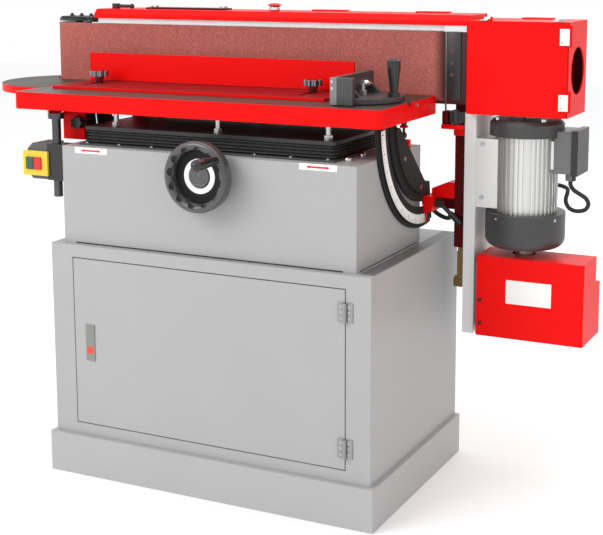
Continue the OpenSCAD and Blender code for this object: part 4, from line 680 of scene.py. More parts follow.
    def piece(self, name: str, finish: Finish, body: str, slot: str) -> bpy.types.Object:
        """Makes the finished object and lets it ride on its body.

        Args:
            name: name of the piece.
            finish: its finish.
            body: body that it moves with.
            slot: slot of the record; not used.

        Returns:
            The object.
        """
        made = place_mesh(name, self.mesh(name), finish)
        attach(made, body)
        return made


def lobed_outline(radius: float, depth: float, lobes: int, steps: int = 8) -> List[Tuple[float, float]]:
    """Gives the outline of a lobed knob.

    Args:
        radius: mean radius.
        depth: how far the lobes swing from it.
        lobes: how many lobes there are.
        steps: points of each lobe.

    Returns:
        The corner points.
    """
    count = lobes * steps
    angles = [2 * math.pi * k / count for k in range(count)]
    reaches = [radius + depth * math.cos(lobes * a) for a in angles]
    return [(reach * math.cos(a), reach * math.sin(a)) for a, reach in zip(angles, reaches)]


class TreeMaker:
    """Base of the Geometry Nodes trees: named inputs, realised instances and a material at the end."""

    def __init__(self, name: str) -> None:
        """Starts an empty tree.

        Args:
            name: name of the tree.
        """
        self.tree = bpy.data.node_groups.new(name, "GeometryNodeTree")
        self.board = NodeBoard(self.tree)
        self.entry = self.board.add("NodeGroupInput")
        self.ids: Dict[str, str] = {}

    def socket(self, name: str, kind: str) -> None:
        """Adds a named input to the tree."""
        made = self.tree.interface.new_socket(name=name, in_out="INPUT", socket_type=kind)
        self.ids[name] = made.identifier

    def close(self, instances: bpy.types.NodeSocket) -> None:
        """Ends the tree in realised instances with their material.

        Args:
            instances: what the tree has set so far.
        """
        self.tree.interface.new_socket(name="Geometry", in_out="OUTPUT", socket_type="NodeSocketGeometry")
        real = self.board.add("GeometryNodeRealizeInstances")
        coat = self.board.add("GeometryNodeSetMaterial")
        out = self.board.add("NodeGroupOutput")
        self.board.join(instances, real.inputs["Geometry"])
        self.board.join(real.outputs["Geometry"], coat.inputs["Geometry"])
        self.board.join(self.entry.outputs["Material"], coat.inputs["Material"])
        self.board.join(coat.outputs["Geometry"], out.inputs["Geometry"])

    def grow(self, name: str, seed: bpy.types.Mesh, values: Dict[str, object], finish: Finish,
             body: str, slot: str) -> bpy.types.Object:
        """Runs the tree on a seed mesh and keeps the result as a plain mesh.

        Args:
            name: name of the piece.
            seed: mesh that the tree starts from.
            values: input values by name.
            finish: finish of the piece.
            body: body that it moves with.
            slot: slot of the record; not used.

        Returns:
            The finished object.
        """
        holder = bpy.data.objects.new(name + "_seed", seed)
        bpy.context.scene.collection.objects.link(holder)
        modifier = holder.modifiers.new("tree", "NODES")
        modifier.node_group = self.tree
        for key, value in values.items():
            modifier[self.ids[key]] = value
        modifier[self.ids["Material"]] = finish.material()
        graph = bpy.context.evaluated_depsgraph_get()
        mesh = bpy.data.meshes.new_from_object(holder.evaluated_get(graph))
        bpy.data.objects.remove(holder)
        mesh.name = name
        shade_smooth(mesh)
        made = place_mesh(name, mesh, finish)
        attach(made, body)
        return made


class ScrewTree(TreeMaker):
    """Screw heads with a sunk drive, one on each seed point, standing along the point's aim."""

    def __init__(self) -> None:
        """Builds the tree."""
        super().__init__("screw_heads")
        self.socket("Geometry", "NodeSocketGeometry")
        for name, kind in (("Head radius", "NodeSocketFloat"), ("Head height", "NodeSocketFloat"),
                           ("Head sides", "NodeSocketInt"), ("Drive radius", "NodeSocketFloat"),
                           ("Drive sides", "NodeSocketInt"), ("Material", "NodeSocketMaterial")):
            self.socket(name, kind)
        head = self._rod("Head sides", "Head radius", "Head height", 0.5)
        drive = self._rod("Drive sides", "Drive radius", "Head height", 1.0)
        cut = self.board.add("GeometryNodeMeshBoolean", operation="DIFFERENCE")
        self.board.join(head, cut.inputs["Mesh 1"])
        self.board.join(drive, cut.inputs["Mesh 2"])
        points = self.board.add("GeometryNodeMeshToPoints")
        self.board.join(self.entry.outputs["Geometry"], points.inputs["Mesh"])
        aim = self.board.add("GeometryNodeInputNamedAttribute", data_type="FLOAT_VECTOR")
        aim.inputs["Name"].default_value = "aim"
        turn = self.board.add("FunctionNodeAlignRotationToVector", axis="Z")
        self.board.join(aim.outputs["Attribute"], turn.inputs["Vector"])
        many = self.board.add("GeometryNodeInstanceOnPoints")
        self.board.join(points.outputs["Points"], many.inputs["Points"])
        self.board.join(cut.outputs["Mesh"], many.inputs["Instance"])
        self.board.join(turn.outputs["Rotation"], many.inputs["Rotation"])
        self.close(many.outputs["Instances"])

    def _rod(self, sides: str, radius: str, height: str, lift: float) -> bpy.types.NodeSocket:
        """Adds a rod whose middle stands at a share of the head's height.

        Args:
            sides: name of the input for the corners.
            radius: name of the input for the radius.
            height: name of the input for the height.
            lift: share of the height.

        Returns:
            The rod's geometry socket.
        """
        rod = self.board.add("GeometryNodeMeshCylinder")
        self.board.join(self.entry.outputs[sides], rod.inputs["Vertices"])
        self.board.join(self.entry.outputs[radius], rod.inputs["Radius"])
        self.board.join(self.entry.outputs[height], rod.inputs["Depth"])
        rise = self.board.add("ShaderNodeMath", operation="MULTIPLY")
        rise.inputs[1].default_value = lift
        self.board.join(self.entry.outputs[height], rise.inputs[0])
        where = self.board.add("ShaderNodeCombineXYZ")
        self.board.join(rise.outputs["Value"], where.inputs["Z"])
        move = self.board.add("GeometryNodeTransform")
        self.board.join(rod.outputs["Mesh"], move.inputs["Geometry"])
        self.board.join(where.outputs["Vector"], move.inputs["Translation"])
        return move.outputs["Geometry"]

    def screws(self, name: str, seats: Iterable[Tuple[Point, Point]], head: Head, sides: int,
               finish: Finish, body: str, slot: str = "bright_steel") -> bpy.types.Object:
        """Sets screws on their seats.

        Args:
            name: name of the piece.
            seats: pairs of seat and direction, in millimetres.
            head: radius and height of the head, in millimetres.
            sides: corners of the head, six for a hexagon.
            finish: finish of the screws.
            body: body that they move with.
            slot: slot of the record.

        Returns:
            The finished piece.
        """
        pairs = list(seats)
        seed = bpy.data.meshes.new(name + "_points")
        seed.from_pydata([mm(*spot) for spot, _ in pairs], [], [])
        aims = seed.attributes.new("aim", "FLOAT_VECTOR", "POINT")
        aims.data.foreach_set("vector", [c for _, aim in pairs for c in aim])
        drive = SOCKET_DRIVE if sides > HEX_HEAD else DIMPLE_DRIVE
        values = {"Head radius": head[0] * MM, "Head height": head[1] * MM, "Head sides": sides,
                  "Drive radius": head[0] * drive[0] * MM, "Drive sides": drive[1]}
        return self.grow(name, seed, values, finish, body, slot)


class TickTree(TreeMaker):
    """Scale marks on an arc round an axis along X."""

    def __init__(self) -> None:
        """Builds the tree."""
        super().__init__("scale_marks")
        self.socket("Geometry", "NodeSocketGeometry")
        for name, kind in (("Count", "NodeSocketInt"), ("First angle", "NodeSocketFloat"),
                           ("Step", "NodeSocketFloat"), ("Radius", "NodeSocketFloat"),
                           ("Length", "NodeSocketFloat"), ("Width", "NodeSocketFloat"),
                           ("Centre", "NodeSocketVector"), ("Material", "NodeSocketMaterial")):
            self.socket(name, kind)
        index = self.board.add("GeometryNodeInputIndex")
        angle = self.board.add("ShaderNodeMath", operation="MULTIPLY_ADD")
        self.board.join(index.outputs["Index"], angle.inputs[0])
        self.board.join(self.entry.outputs["Step"], angle.inputs[1])
        self.board.join(self.entry.outputs["First angle"], angle.inputs[2])
        spot = self.board.add("ShaderNodeCombineXYZ")
        for operation, name in (("COSINE", "Y"), ("SINE", "Z")):
            wave = self.board.add("ShaderNodeMath", operation=operation)
            reach = self.board.add("ShaderNodeMath", operation="MULTIPLY")
            self.board.join(angle.outputs["Value"], wave.inputs[0])
            self.board.join(wave.outputs["Value"], reach.inputs[0])
            self.board.join(self.entry.outputs["Radius"], reach.inputs[1])
            self.board.join(reach.outputs["Value"], spot.inputs[name])
        place = self.board.add("ShaderNodeVectorMath", operation="ADD")
        self.board.join(spot.outputs["Vector"], place.inputs[0])
        self.board.join(self.entry.outputs["Centre"], place.inputs[1])
        points = self.board.add("GeometryNodePoints")
        self.board.join(self.entry.outputs["Count"], points.inputs["Count"])
        self.board.join(place.outputs["Vector"], points.inputs["Position"])
        size = self.board.add("ShaderNodeCombineXYZ")
        size.inputs["X"].default_value = MARK_THICKNESS
        self.board.join(self.entry.outputs["Length"], size.inputs["Y"])
        self.board.join(self.entry.outputs["Width"], size.inputs["Z"])
        mark = self.board.add("GeometryNodeMeshCube")
        self.board.join(size.outputs["Vector"], mark.inputs["Size"])
        lean = self.board.add("ShaderNodeCombineXYZ")
        self.board.join(angle.outputs["Value"], lean.inputs["X"])
        many = self.board.add("GeometryNodeInstanceOnPoints")
        self.board.join(points.outputs["Points"], many.inputs["Points"])
        self.board.join(mark.outputs["Mesh"], many.inputs["Instance"])
        self.board.join(lean.outputs["Vector"], many.inputs["Rotation"])
        self.close(many.outputs["Instances"])


@dataclass
class Studio:
    """Camera, lights and floor."""

    eye: Point = (1406.7, -2585.7, 1156.5)
    yaw: float = 26.577
    pitch: float = 9.237
    roll: float = -0.216
    focal_px: float = 1330.28
    frame_px: Tuple[int, int] = (603, 535)
    centre_row: float = 171.0
    sensor: float = 36.0
    sight: float = 60.0
    lamps: Tuple[Tuple[str, Point, float, float], ...] = (
        ("key", (-1.8, -3.4, 3.2), 2.4, 92.0), ("fill", (3.4, -2.0, 2.2), 2.2, 1.0),
        ("top", (0.2, 0.2, 3.6), 2.6, 22.0), ("rear", (0.6, 3.2, 2.6), 2.4, 20.0))
    aim: Point = (0.05, 0.0, 0.6)
    floor_half: float = 9.0

    def camera(self) -> bpy.types.Object:
        """Sets the camera at the photograph's place.

        Returns:
            The camera.
        """
        data = bpy.data.cameras.new("photo_camera")
        data.sensor_fit = "HORIZONTAL"
        data.sensor_width = self.sensor
        data.lens = self.focal_px / self.frame_px[0] * self.sensor
        data.shift_y = (self.centre_row - self.frame_px[1] / 2) / self.frame_px[0]
        data.clip_end = self.sight
        yaw, pitch, roll = (math.radians(a) for a in (self.yaw, self.pitch, self.roll))
        ahead = Vector((-math.sin(yaw) * math.cos(pitch), math.cos(yaw) * math.cos(pitch), -math.sin(pitch)))
        right = Vector((math.cos(yaw), math.sin(yaw), 0.0))
        up = right.cross(ahead)
        side = right * math.cos(roll) + up * math.sin(roll)
        top = up * math.cos(roll) - right * math.sin(roll)
        made = bpy.data.objects.new("photo_camera", data)
        turn = Matrix((side, top, -ahead)).transposed().to_4x4()
        made.matrix_world = Matrix.Translation(mm(*self.eye)) @ turn
        bpy.context.scene.collection.objects.link(made)
        bpy.context.scene.camera = made
        return made

    def lights(self) -> None:
        """Hangs soft lights round the machine in a pale room and keeps paint colours true."""
        bpy.context.scene.view_settings.view_transform = "Standard"
        world = bpy.data.worlds.new("pale_room")
        bpy.context.scene.world = world
        world.use_nodes = True
        back = world.node_tree.nodes["Background"]
        back.inputs["Color"].default_value = (1.0, 1.0, 1.0, 1.0)
        back.inputs["Strength"].default_value = 1.0
        for name, place, size, power in self.lamps:
            lamp = bpy.data.lights.new(name + "_light", "AREA")
            lamp.size = size
            lamp.energy = power
            made = bpy.data.objects.new(name + "_light", lamp)
            made.location = place
            made.rotation_euler = (Vector(self.aim) - Vector(place)).to_track_quat("-Z", "Y").to_euler()
            bpy.context.scene.collection.objects.link(made)

    def floor(self) -> bpy.types.Object:
        """Lays the pale floor.

        Returns:
            The floor.
        """
        half = self.floor_half
        mesh = bpy.data.meshes.new("studio_floor")
        corners = [(-half, -half, 0), (half, -half, 0), (half, half, 0), (-half, half, 0)]
        mesh.from_pydata(corners, [], [(0, 1, 2, 3)])
        made = place_mesh("studio_floor", mesh, PALE_FLOOR)
        return made


@dataclass
class Cable:
    """One cable, from its first fitting to its last."""

    name: str
    node: str
    route: Sequence[Point]
    radius: float
    steps: int = 6
    sides: int = 14
    first_normal: Point = (0.12, 0.99, 0.05)
    path: List[Vector] = field(default_factory=list)

    def trace(self) -> float:
        """Lays the smooth centre line through the route.

        Returns:
            The length in metres.
        """
        spots = [mm(*p) for p in self.route]
        ends = [spots[0] * 2 - spots[1]] + spots + [spots[-1] * 2 - spots[-2]]
        line: List[Vector] = []
        for a, b, c, d in zip(ends, ends[1:], ends[2:], ends[3:]):
            for k in range(self.steps):
                t = k / self.steps
                line.append(0.5 * (2 * b + (c - a) * t + (2 * a - 5 * b + 4 * c - d) * t * t
                                   + (3 * b - a - 3 * c + d) * t ** 3))
        line.append(spots[-1])
        self.path = line
        return sum((q - p).length for p, q in zip(line, line[1:]))

    def build(self, body: str, other: Optional[str] = None) -> bpy.types.Object:
        """Args:
            body: body that the cable leaves.
            other: another body at its far end; where one is given, the cable is baked in place and rides on no
                body.

        Returns:
            The cable.
        """
        length = self.trace()
        mesh = bpy.data.meshes.new(self.name)
        verts: List[Vector] = []
        normal = Vector(self.first_normal)
        for k, spot in enumerate(self.path):
            ahead = (self.path[min(k + 1, len(self.path) - 1)] - self.path[max(k - 1, 0)]).normalized()
            normal = (normal - ahead * normal.dot(ahead)).normalized()
            side = ahead.cross(normal)
            for s in range(self.sides):
                a = 2 * math.pi * s / self.sides
                verts.append(spot + (normal * math.cos(a) + side * math.sin(a)) * self.radius * MM)
        count, n = len(self.path), self.sides
        faces = [(i * n + s, i * n + (s + 1) % n, (i + 1) * n + (s + 1) % n, (i + 1) * n + s)
                 for i in range(count - 1) for s in range(n)]
        faces += [tuple(reversed(range(n))), tuple(range((count - 1) * n, count * n))]
        mesh.from_pydata(verts, [], faces)
        bm = bmesh.new()
        bm.from_mesh(mesh)
        bmesh.ops.recalc_face_normals(bm, faces=bm.faces)
        bm.to_mesh(mesh)
        bm.free()
        mesh.polygons.foreach_set("use_smooth", [True] * len(mesh.polygons))
        made = place_mesh(self.name, mesh, JACKET)
        if other is None:
            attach(made, body)
        else:
            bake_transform(made)
        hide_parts(self.node)
        return made


@dataclass
class Bellows:
    """Rubber bellows round the lift posts, stretched by the table."""

    x: Tuple[float, float] = (-330.0, 282.0)
    y: Tuple[float, float] = (-188.0, 78.0)
    z: Tuple[float, float] = (748.0, 776.0)
    flange: float = 6.0
    flange_y: Tuple[float, float] = (-200.0, 84.0)
    fold: float = 7.0
    folds: int = 4
    corner: float = 10.0
    corner_steps: int = 5
    skin: float = 1.6
    fold_steps: int = 8
    lap: float = 4.0
    flange_t: float = 4.0
    flange_edge: float = 1.0

    def _loop(self, inset: float) -> List[Tuple[float, float]]:
        """Gives the rounded outline, drawn in by an inset.

        Args:
            inset: how far the outline is drawn in.

        Returns:
            The corner points.
        """
        r = max(1.0, self.corner - inset * 0.5)
        x0, x1 = self.x[0] + inset, self.x[1] - inset
        y0, y1 = self.y[0] + inset, self.y[1] - inset
        loop = []
        for cx, cy, start in ((x1 - r, y1 - r, 0), (x0 + r, y1 - r, 90),
                              (x0 + r, y0 + r, 180), (x1 - r, y0 + r, 270)):
            for k in range(self.corner_steps + 1):
                a = math.radians(start + 90 * k / self.corner_steps)
                loop.append((cx + r * math.cos(a), cy + r * math.sin(a)))
        return loop

    def build(self) -> bpy.types.Object:
        """Makes the folded skin with its flange.

        Returns:
            The bellows.
        """
        shape = Shape()
        levels = self.folds * self.fold_steps
        outer, inner = [], []
        for k in range(levels + 1):
            wave = 0.5 - 0.5 * math.cos(2 * math.pi * self.folds * k / levels)
            z = self.z[0] + (self.z[1] - self.z[0]) * k / levels
            inset = self.fold * (1.0 - wave)
            outer.append([shape.bm.verts.new((x, y, z)) for x, y in self._loop(inset)])
            inner.append([shape.bm.verts.new((x, y, z)) for x, y in self._loop(inset + self.skin)])
        for shell in (outer, inner):
            for one, two in zip(shell, shell[1:]):
                shape.bridge(one, two, len(one))
        for one, two in ((outer[0], inner[0]), (outer[-1], inner[-1])):
            shape.bridge(one, two, len(one))
        (x0, x1), (y0, y1), lip, lap = self.x, self.y, self.flange, self.lap
        for low, high in (((x0 - lip, self.flange_y[0]), (x1 + lip, y0 + lap)),
                          ((x0 - lip, y1 - lap), (x1 + lip, self.flange_y[1])),
                          ((x0 - lip, y0 + lap), (x0 + lap, y1 - lap)),
                          ((x1 - lap, y0 + lap), (x1 + lip, y1 - lap))):
            shape.box((*low, self.z[0] - self.flange_t), (*high, self.z[0]), self.flange_edge)
        mesh = shape.mesh("bellows_skin", FOLD_ANGLE)
        made = place_mesh("bellows_skin", mesh, RUBBER)
        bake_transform(made)
        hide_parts("bellows")
        return made


@dataclass
class Stand:
    """Small parts of the cabinet, its door and the lift housing."""

    hinge_x: float = 331.5
    hinge_zs: Tuple[float, float] = (166.0, 451.0)
    leaf_front: float = -245.0
    leaf_shift: float = 9.5
    screw_steps: Tuple[float, ...] = (-12.5, 0.0, 12.5)
    screw_head: Head = (3.0, 1.0)
    front: float = -226.0
    arrows: Tuple[Tuple[float, float], ...] = ((-287.0, 736.0), (263.0, 737.0))
    arrow_size: Tuple[float, float] = (84.0, 13.0)
    arrow_shares: Tuple[float, float, float, float] = (0.62, 0.45, 0.3, 0.62)
    sticker_t: float = 0.3
    mark_t: float = 0.15

    def hinge_screws(self, tree: ScrewTree) -> List[bpy.types.Object]:
        """Sets three screws in each hinge leaf.

        Args:
            tree: the tree that sets the screws.

        Returns:
            The finished pieces.
        """
        made = []
        for body, side in (("base", 1), ("door", -1)):
            x = self.hinge_x + side * self.leaf_shift
            seats = [((x, self.leaf_front, z + step), FRONT)
                     for z in self.hinge_zs for step in self.screw_steps]
            made.append(tree.screws(body + "_hinge_screws", seats, self.screw_head, ROUND_HEAD,
                                    SHAFT_STEEL, body))
        return made

    def arrow_stickers(self) -> List[bpy.types.Object]:
        """Puts a plain white sticker with a double arrow above each end of the housing's front.

        Returns:
            The finished pieces.
        """
        w, h = (size / 2 for size in self.arrow_size)
        a, b, t, tip = (half * share for half, share in zip((w, w, h, h), self.arrow_shares))
        outline = [(-a, 0), (-b, -tip), (-b, -t), (b, -t), (b, -tip), (a, 0), (b, tip), (b, t), (-b, t),
                   (-b, tip)]
        face = self.front - self.sticker_t
        made = []
        for number, (x, z) in enumerate(self.arrows):
            sticker = Shape().box((x - w, face, z - h), (x + w, self.front, z + h), STICKER_EDGE)
            made.append(sticker.piece(f"arrow_sticker_{number}", WHITE_STRIP, "base", "white_strip"))
            arrow = Shape().prism(outline, (x, face, z), RIGHT, UP, self.mark_t)
            made.append(arrow.piece(f"arrow_mark_{number}", ARROW_RED, "base", "red_plastic"))
        return made

    def build(self, tree: ScrewTree) -> List[bpy.types.Object]:
        """Builds the stand's small parts."""
        return self.hinge_screws(tree) + self.arrow_stickers()


@dataclass
class Wheel:
    """Bright ring, grooved hub cap and dark dish of the handwheel, the dish being a thin near black sheet of
    painted shade, and the cap of its grip.
    """

    seat: Point = (8.0, -259.0, 706.0)
    ring: Tuple[float, float, float] = (25.5, 37.0, 2.0)
    dish: Tuple[float, float, float] = (37.2, 61.5, 0.5)
    hub_profile: Profile = ((0, 0), (24.0, 0), (24.0, 3.6), (22.6, 5.0), (17.4, 5.0), (16.8, 4.2), (15.4, 4.2),
                            (14.8, 5.0), (9.4, 5.0), (8.8, 4.2), (7.4, 4.2), (6.8, 5.0), (0, 5.0))
    grip: Point = (60.71, -367.3, 745.72)
    grip_profile: Profile = ((0, 0), (7.0, 0), (7.0, 1.2), (5.5, 2.6), (0, 3.4))

    def build(self) -> List[bpy.types.Object]:
        """Builds the wheel's ring, hub cap, grip cap and the sheet of painted shade in its dish.

        Returns:
            The finished pieces.
        """
        ring = Shape().ring(*self.ring, self.seat, FRONT)
        hub = Shape().turned(self.hub_profile, self.seat, FRONT, 48)
        cap = Shape().turned(self.grip_profile, self.grip, FRONT, 28)
        # Painted shade: a thin near black sheet darkens the wheel's dish.
        dish = Shape().ring(*self.dish, self.seat, FRONT)
        return [ring.piece("wheel_ring", DIAL_SILVER, "wheel", "bright_steel"),
                hub.piece("wheel_hub_cap", HUB_GREY, "wheel", "black_paint"),
                cap.piece("grip_cap", BLACK_PLASTIC, "grip", "black_plastic"),
                dish.piece("wheel_dish_shade", DISH_SHADE_SHEET, "wheel", "black_paint")]


@dataclass
class TiltParts:
    """Scale marks, the column's knob and gusset, and the stop post behind the trunnion."""

    pivot: Tuple[float, float] = (118.0, 820.0)
    scale_face: float = 358.8
    mark_r: float = 247.0
    arc: Tuple[float, float] = (186.0, 270.0)
    mark_kinds: Tuple[Tuple[str, float, float, float], ...] = (
        ("scale_marks_short", 2.0, 6.0, 0.8), ("scale_marks_long", 10.0, 11.0, 1.3))
    bracket: Tuple[Box, ...] = (((398, 106, 783), (446, 138, 793), 1.5),
                                ((420, 126, 767), (446, 138, 783), 1.0))
    cheek: Tuple[Box, ...] = (((398, 112, 793), (412, 137, 821), 1.0),)
    knob: Point = (430.0, 118.0, 793.0)
    knob_lobes: Tuple[float, float, int] = (15.5, 1.8, 8)
    knob_foot: Tuple[float, float] = (9.0, 4.0)
    knob_height: float = 24.0
    knob_crown: Profile = ((0, 26), (14, 26), (12, 30), (6, 32), (0, 32))
    gusset: Profile = ((366.3, 625.4), (420.0, 625.4), (420.0, 661.0), (404.0, 661.0), (366.3, 645.0))
    gusset_back: float = 172.0
    gusset_depth: float = 33.5
    stop: Point = (331.0, 59.0, 744.0)
    stop_tabs: Tuple[Box, ...] = (((323, 52, 744), (345, 66, 762), 1.0),
                                  ((323, 54, 787), (339, 64, 793), 1.0))
    stop_pin: Tuple[float, float, float] = (3.0, 18.0, 43.0)
    stop_levels: Tuple[float, float] = (21.0, 49.0)
    stop_profile: Profile = ((0, 0), (5, 0), (7, 4), (7, 8), (4, 12), (0, 13))

    def marks(self, tree: TickTree) -> List[bpy.types.Object]:
        """Draws the short and the long marks of the tilt scale.

        Args:
            tree: the tree that draws the marks.

        Returns:
            The finished pieces.
        """
        made = []
        for name, step, length, width in self.mark_kinds:
            seed = bpy.data.meshes.new(name + "_points")
            seed.from_pydata([(0, 0, 0)], [], [])
            values = {"Count": int((self.arc[1] - self.arc[0]) / step) + 1,
                      "First angle": math.radians(self.arc[0]), "Step": math.radians(step),
                      "Radius": (self.mark_r - length / 2) * MM, "Length": length * MM, "Width": width * MM,
                      "Centre": mm(self.scale_face, *self.pivot)}
            made.append(tree.grow(name, seed, values, INK_BLACK, "base", "black_paint"))
        return made

    def column_knob(self) -> List[bpy.types.Object]:
        """Builds the lobed knob on its red bracket at the column's top.

        Returns:
            The finished pieces.
        """
        x, y, z = self.knob
        radius, height = self.knob_foot
        knob = Shape().prism(lobed_outline(*self.knob_lobes), (x, y, z + height), RIGHT, BACK, self.knob_height)
        knob.rod(radius, height, self.knob, UP, 24)
        knob.turned(self.knob_crown, self.knob, UP, 24)
        return [Shape().boxes(self.bracket).piece("column_bracket", RED_PAINT, "tilt_frame", "red_paint"),
                Shape().boxes(self.cheek).piece("column_cheek", SHADOW_RED_PAINT, "tilt_frame", "dark_red_paint"),
                knob.piece("column_knob", BLACK_PLASTIC, "tilt_frame", "black_plastic")]

    def arm_gusset(self) -> bpy.types.Object:
        """Builds the sloping red gusset between the clamp block and the column."""
        gusset = Shape().prism(self.gusset, (0, self.gusset_back, 0), RIGHT, UP, self.gusset_depth)
        return gusset.piece("arm_gusset", RED_PAINT, "tilt_frame", "red_paint")

    def stop_post(self) -> List[bpy.types.Object]:
        """Builds the stop post with its red tabs and two black knobs on the housing's rear corner.

        Returns:
            The finished pieces.
        """
        x, y, z = self.stop
        radius, low, high = self.stop_pin
        knobs = Shape().rod(radius, high - low, (x, y, z + low), UP, 16)
        for level in self.stop_levels:
            knobs.turned(self.stop_profile, (x, y, z + level), UP, 24)
        return [Shape().boxes(self.stop_tabs).piece("stop_tabs", RED_PAINT, "base", "red_paint"),
                knobs.piece("stop_knobs", BLACK_PLASTIC, "base", "black_plastic")]

    def build(self, tree: TickTree) -> List[bpy.types.Object]:
        """Builds the tilt parts."""
        return self.marks(tree) + self.column_knob() + self.stop_post() + [self.arm_gusset()]


@dataclass
class TableParts:
    """Small parts on the table and the mitre gauge."""

    wing: Point = (268.0, -9.0, 887.0)
    wing_profile: Profile = ((0, 0), (8, 0), (7.4, 6), (5, 11), (0, 11))
    wing_x: Tuple[float, float] = (4.0, 13.0)
    wing_reach: float = 10.0
    wing_half: Tuple[float, float] = (7.0, 2.5)
    wing_edge: float = 2.0
    face_screws: Tuple[Point, ...] = ((263.0, -160.0, 889.0), (263.0, -160.0, 903.0))
    face_head: Head = (3.2, 1.4)
    stop_screw: Point = (387.0, -8.0, 846.0)
    stop_head: Head = (4.0, 2.5)
    web: Tuple[Box, ...] = (((-360.5, 60, 790), (312, 66, 835.7), 1.0),)

    def wing_nut(self) -> bpy.types.Object:
        """Builds the wing nut on the mitre face.

        Returns:
            The finished piece.
        """
        x, y, z = self.wing
        half_y, half_z = self.wing_half
        nut = Shape().turned(self.wing_profile, self.wing, RIGHT, 24)
        for side in (-1, 1):
            middle = y + side * self.wing_reach
            nut.box((x + self.wing_x[0], middle - half_y, z - half_z),
                    (x + self.wing_x[1], middle + half_y, z + half_z), self.wing_edge)
        return nut.piece("mitre_wing_nut", CHROME, "mitre", "bright_steel")

    def build(self, tree: ScrewTree) -> List[bpy.types.Object]:
        """Builds the table's small parts.

        Args:
            tree: the tree that sets the screws.

        Returns:
            The finished pieces.
        """
        screws = tree.screws("mitre_face_screws", [(spot, FRONT) for spot in self.face_screws], self.face_head,
                             ROUND_HEAD, BRIGHT_STEEL, "mitre")
        stop = tree.screws("table_stop_screw", [(self.stop_screw, RIGHT)], self.stop_head, ROUND_HEAD,
                           BRIGHT_STEEL, "table")
        web = Shape().boxes(self.web)
        return [self.wing_nut(), screws, stop, web.piece("table_web", SHADOW_RED_PAINT, "table", "dark_red_paint")]


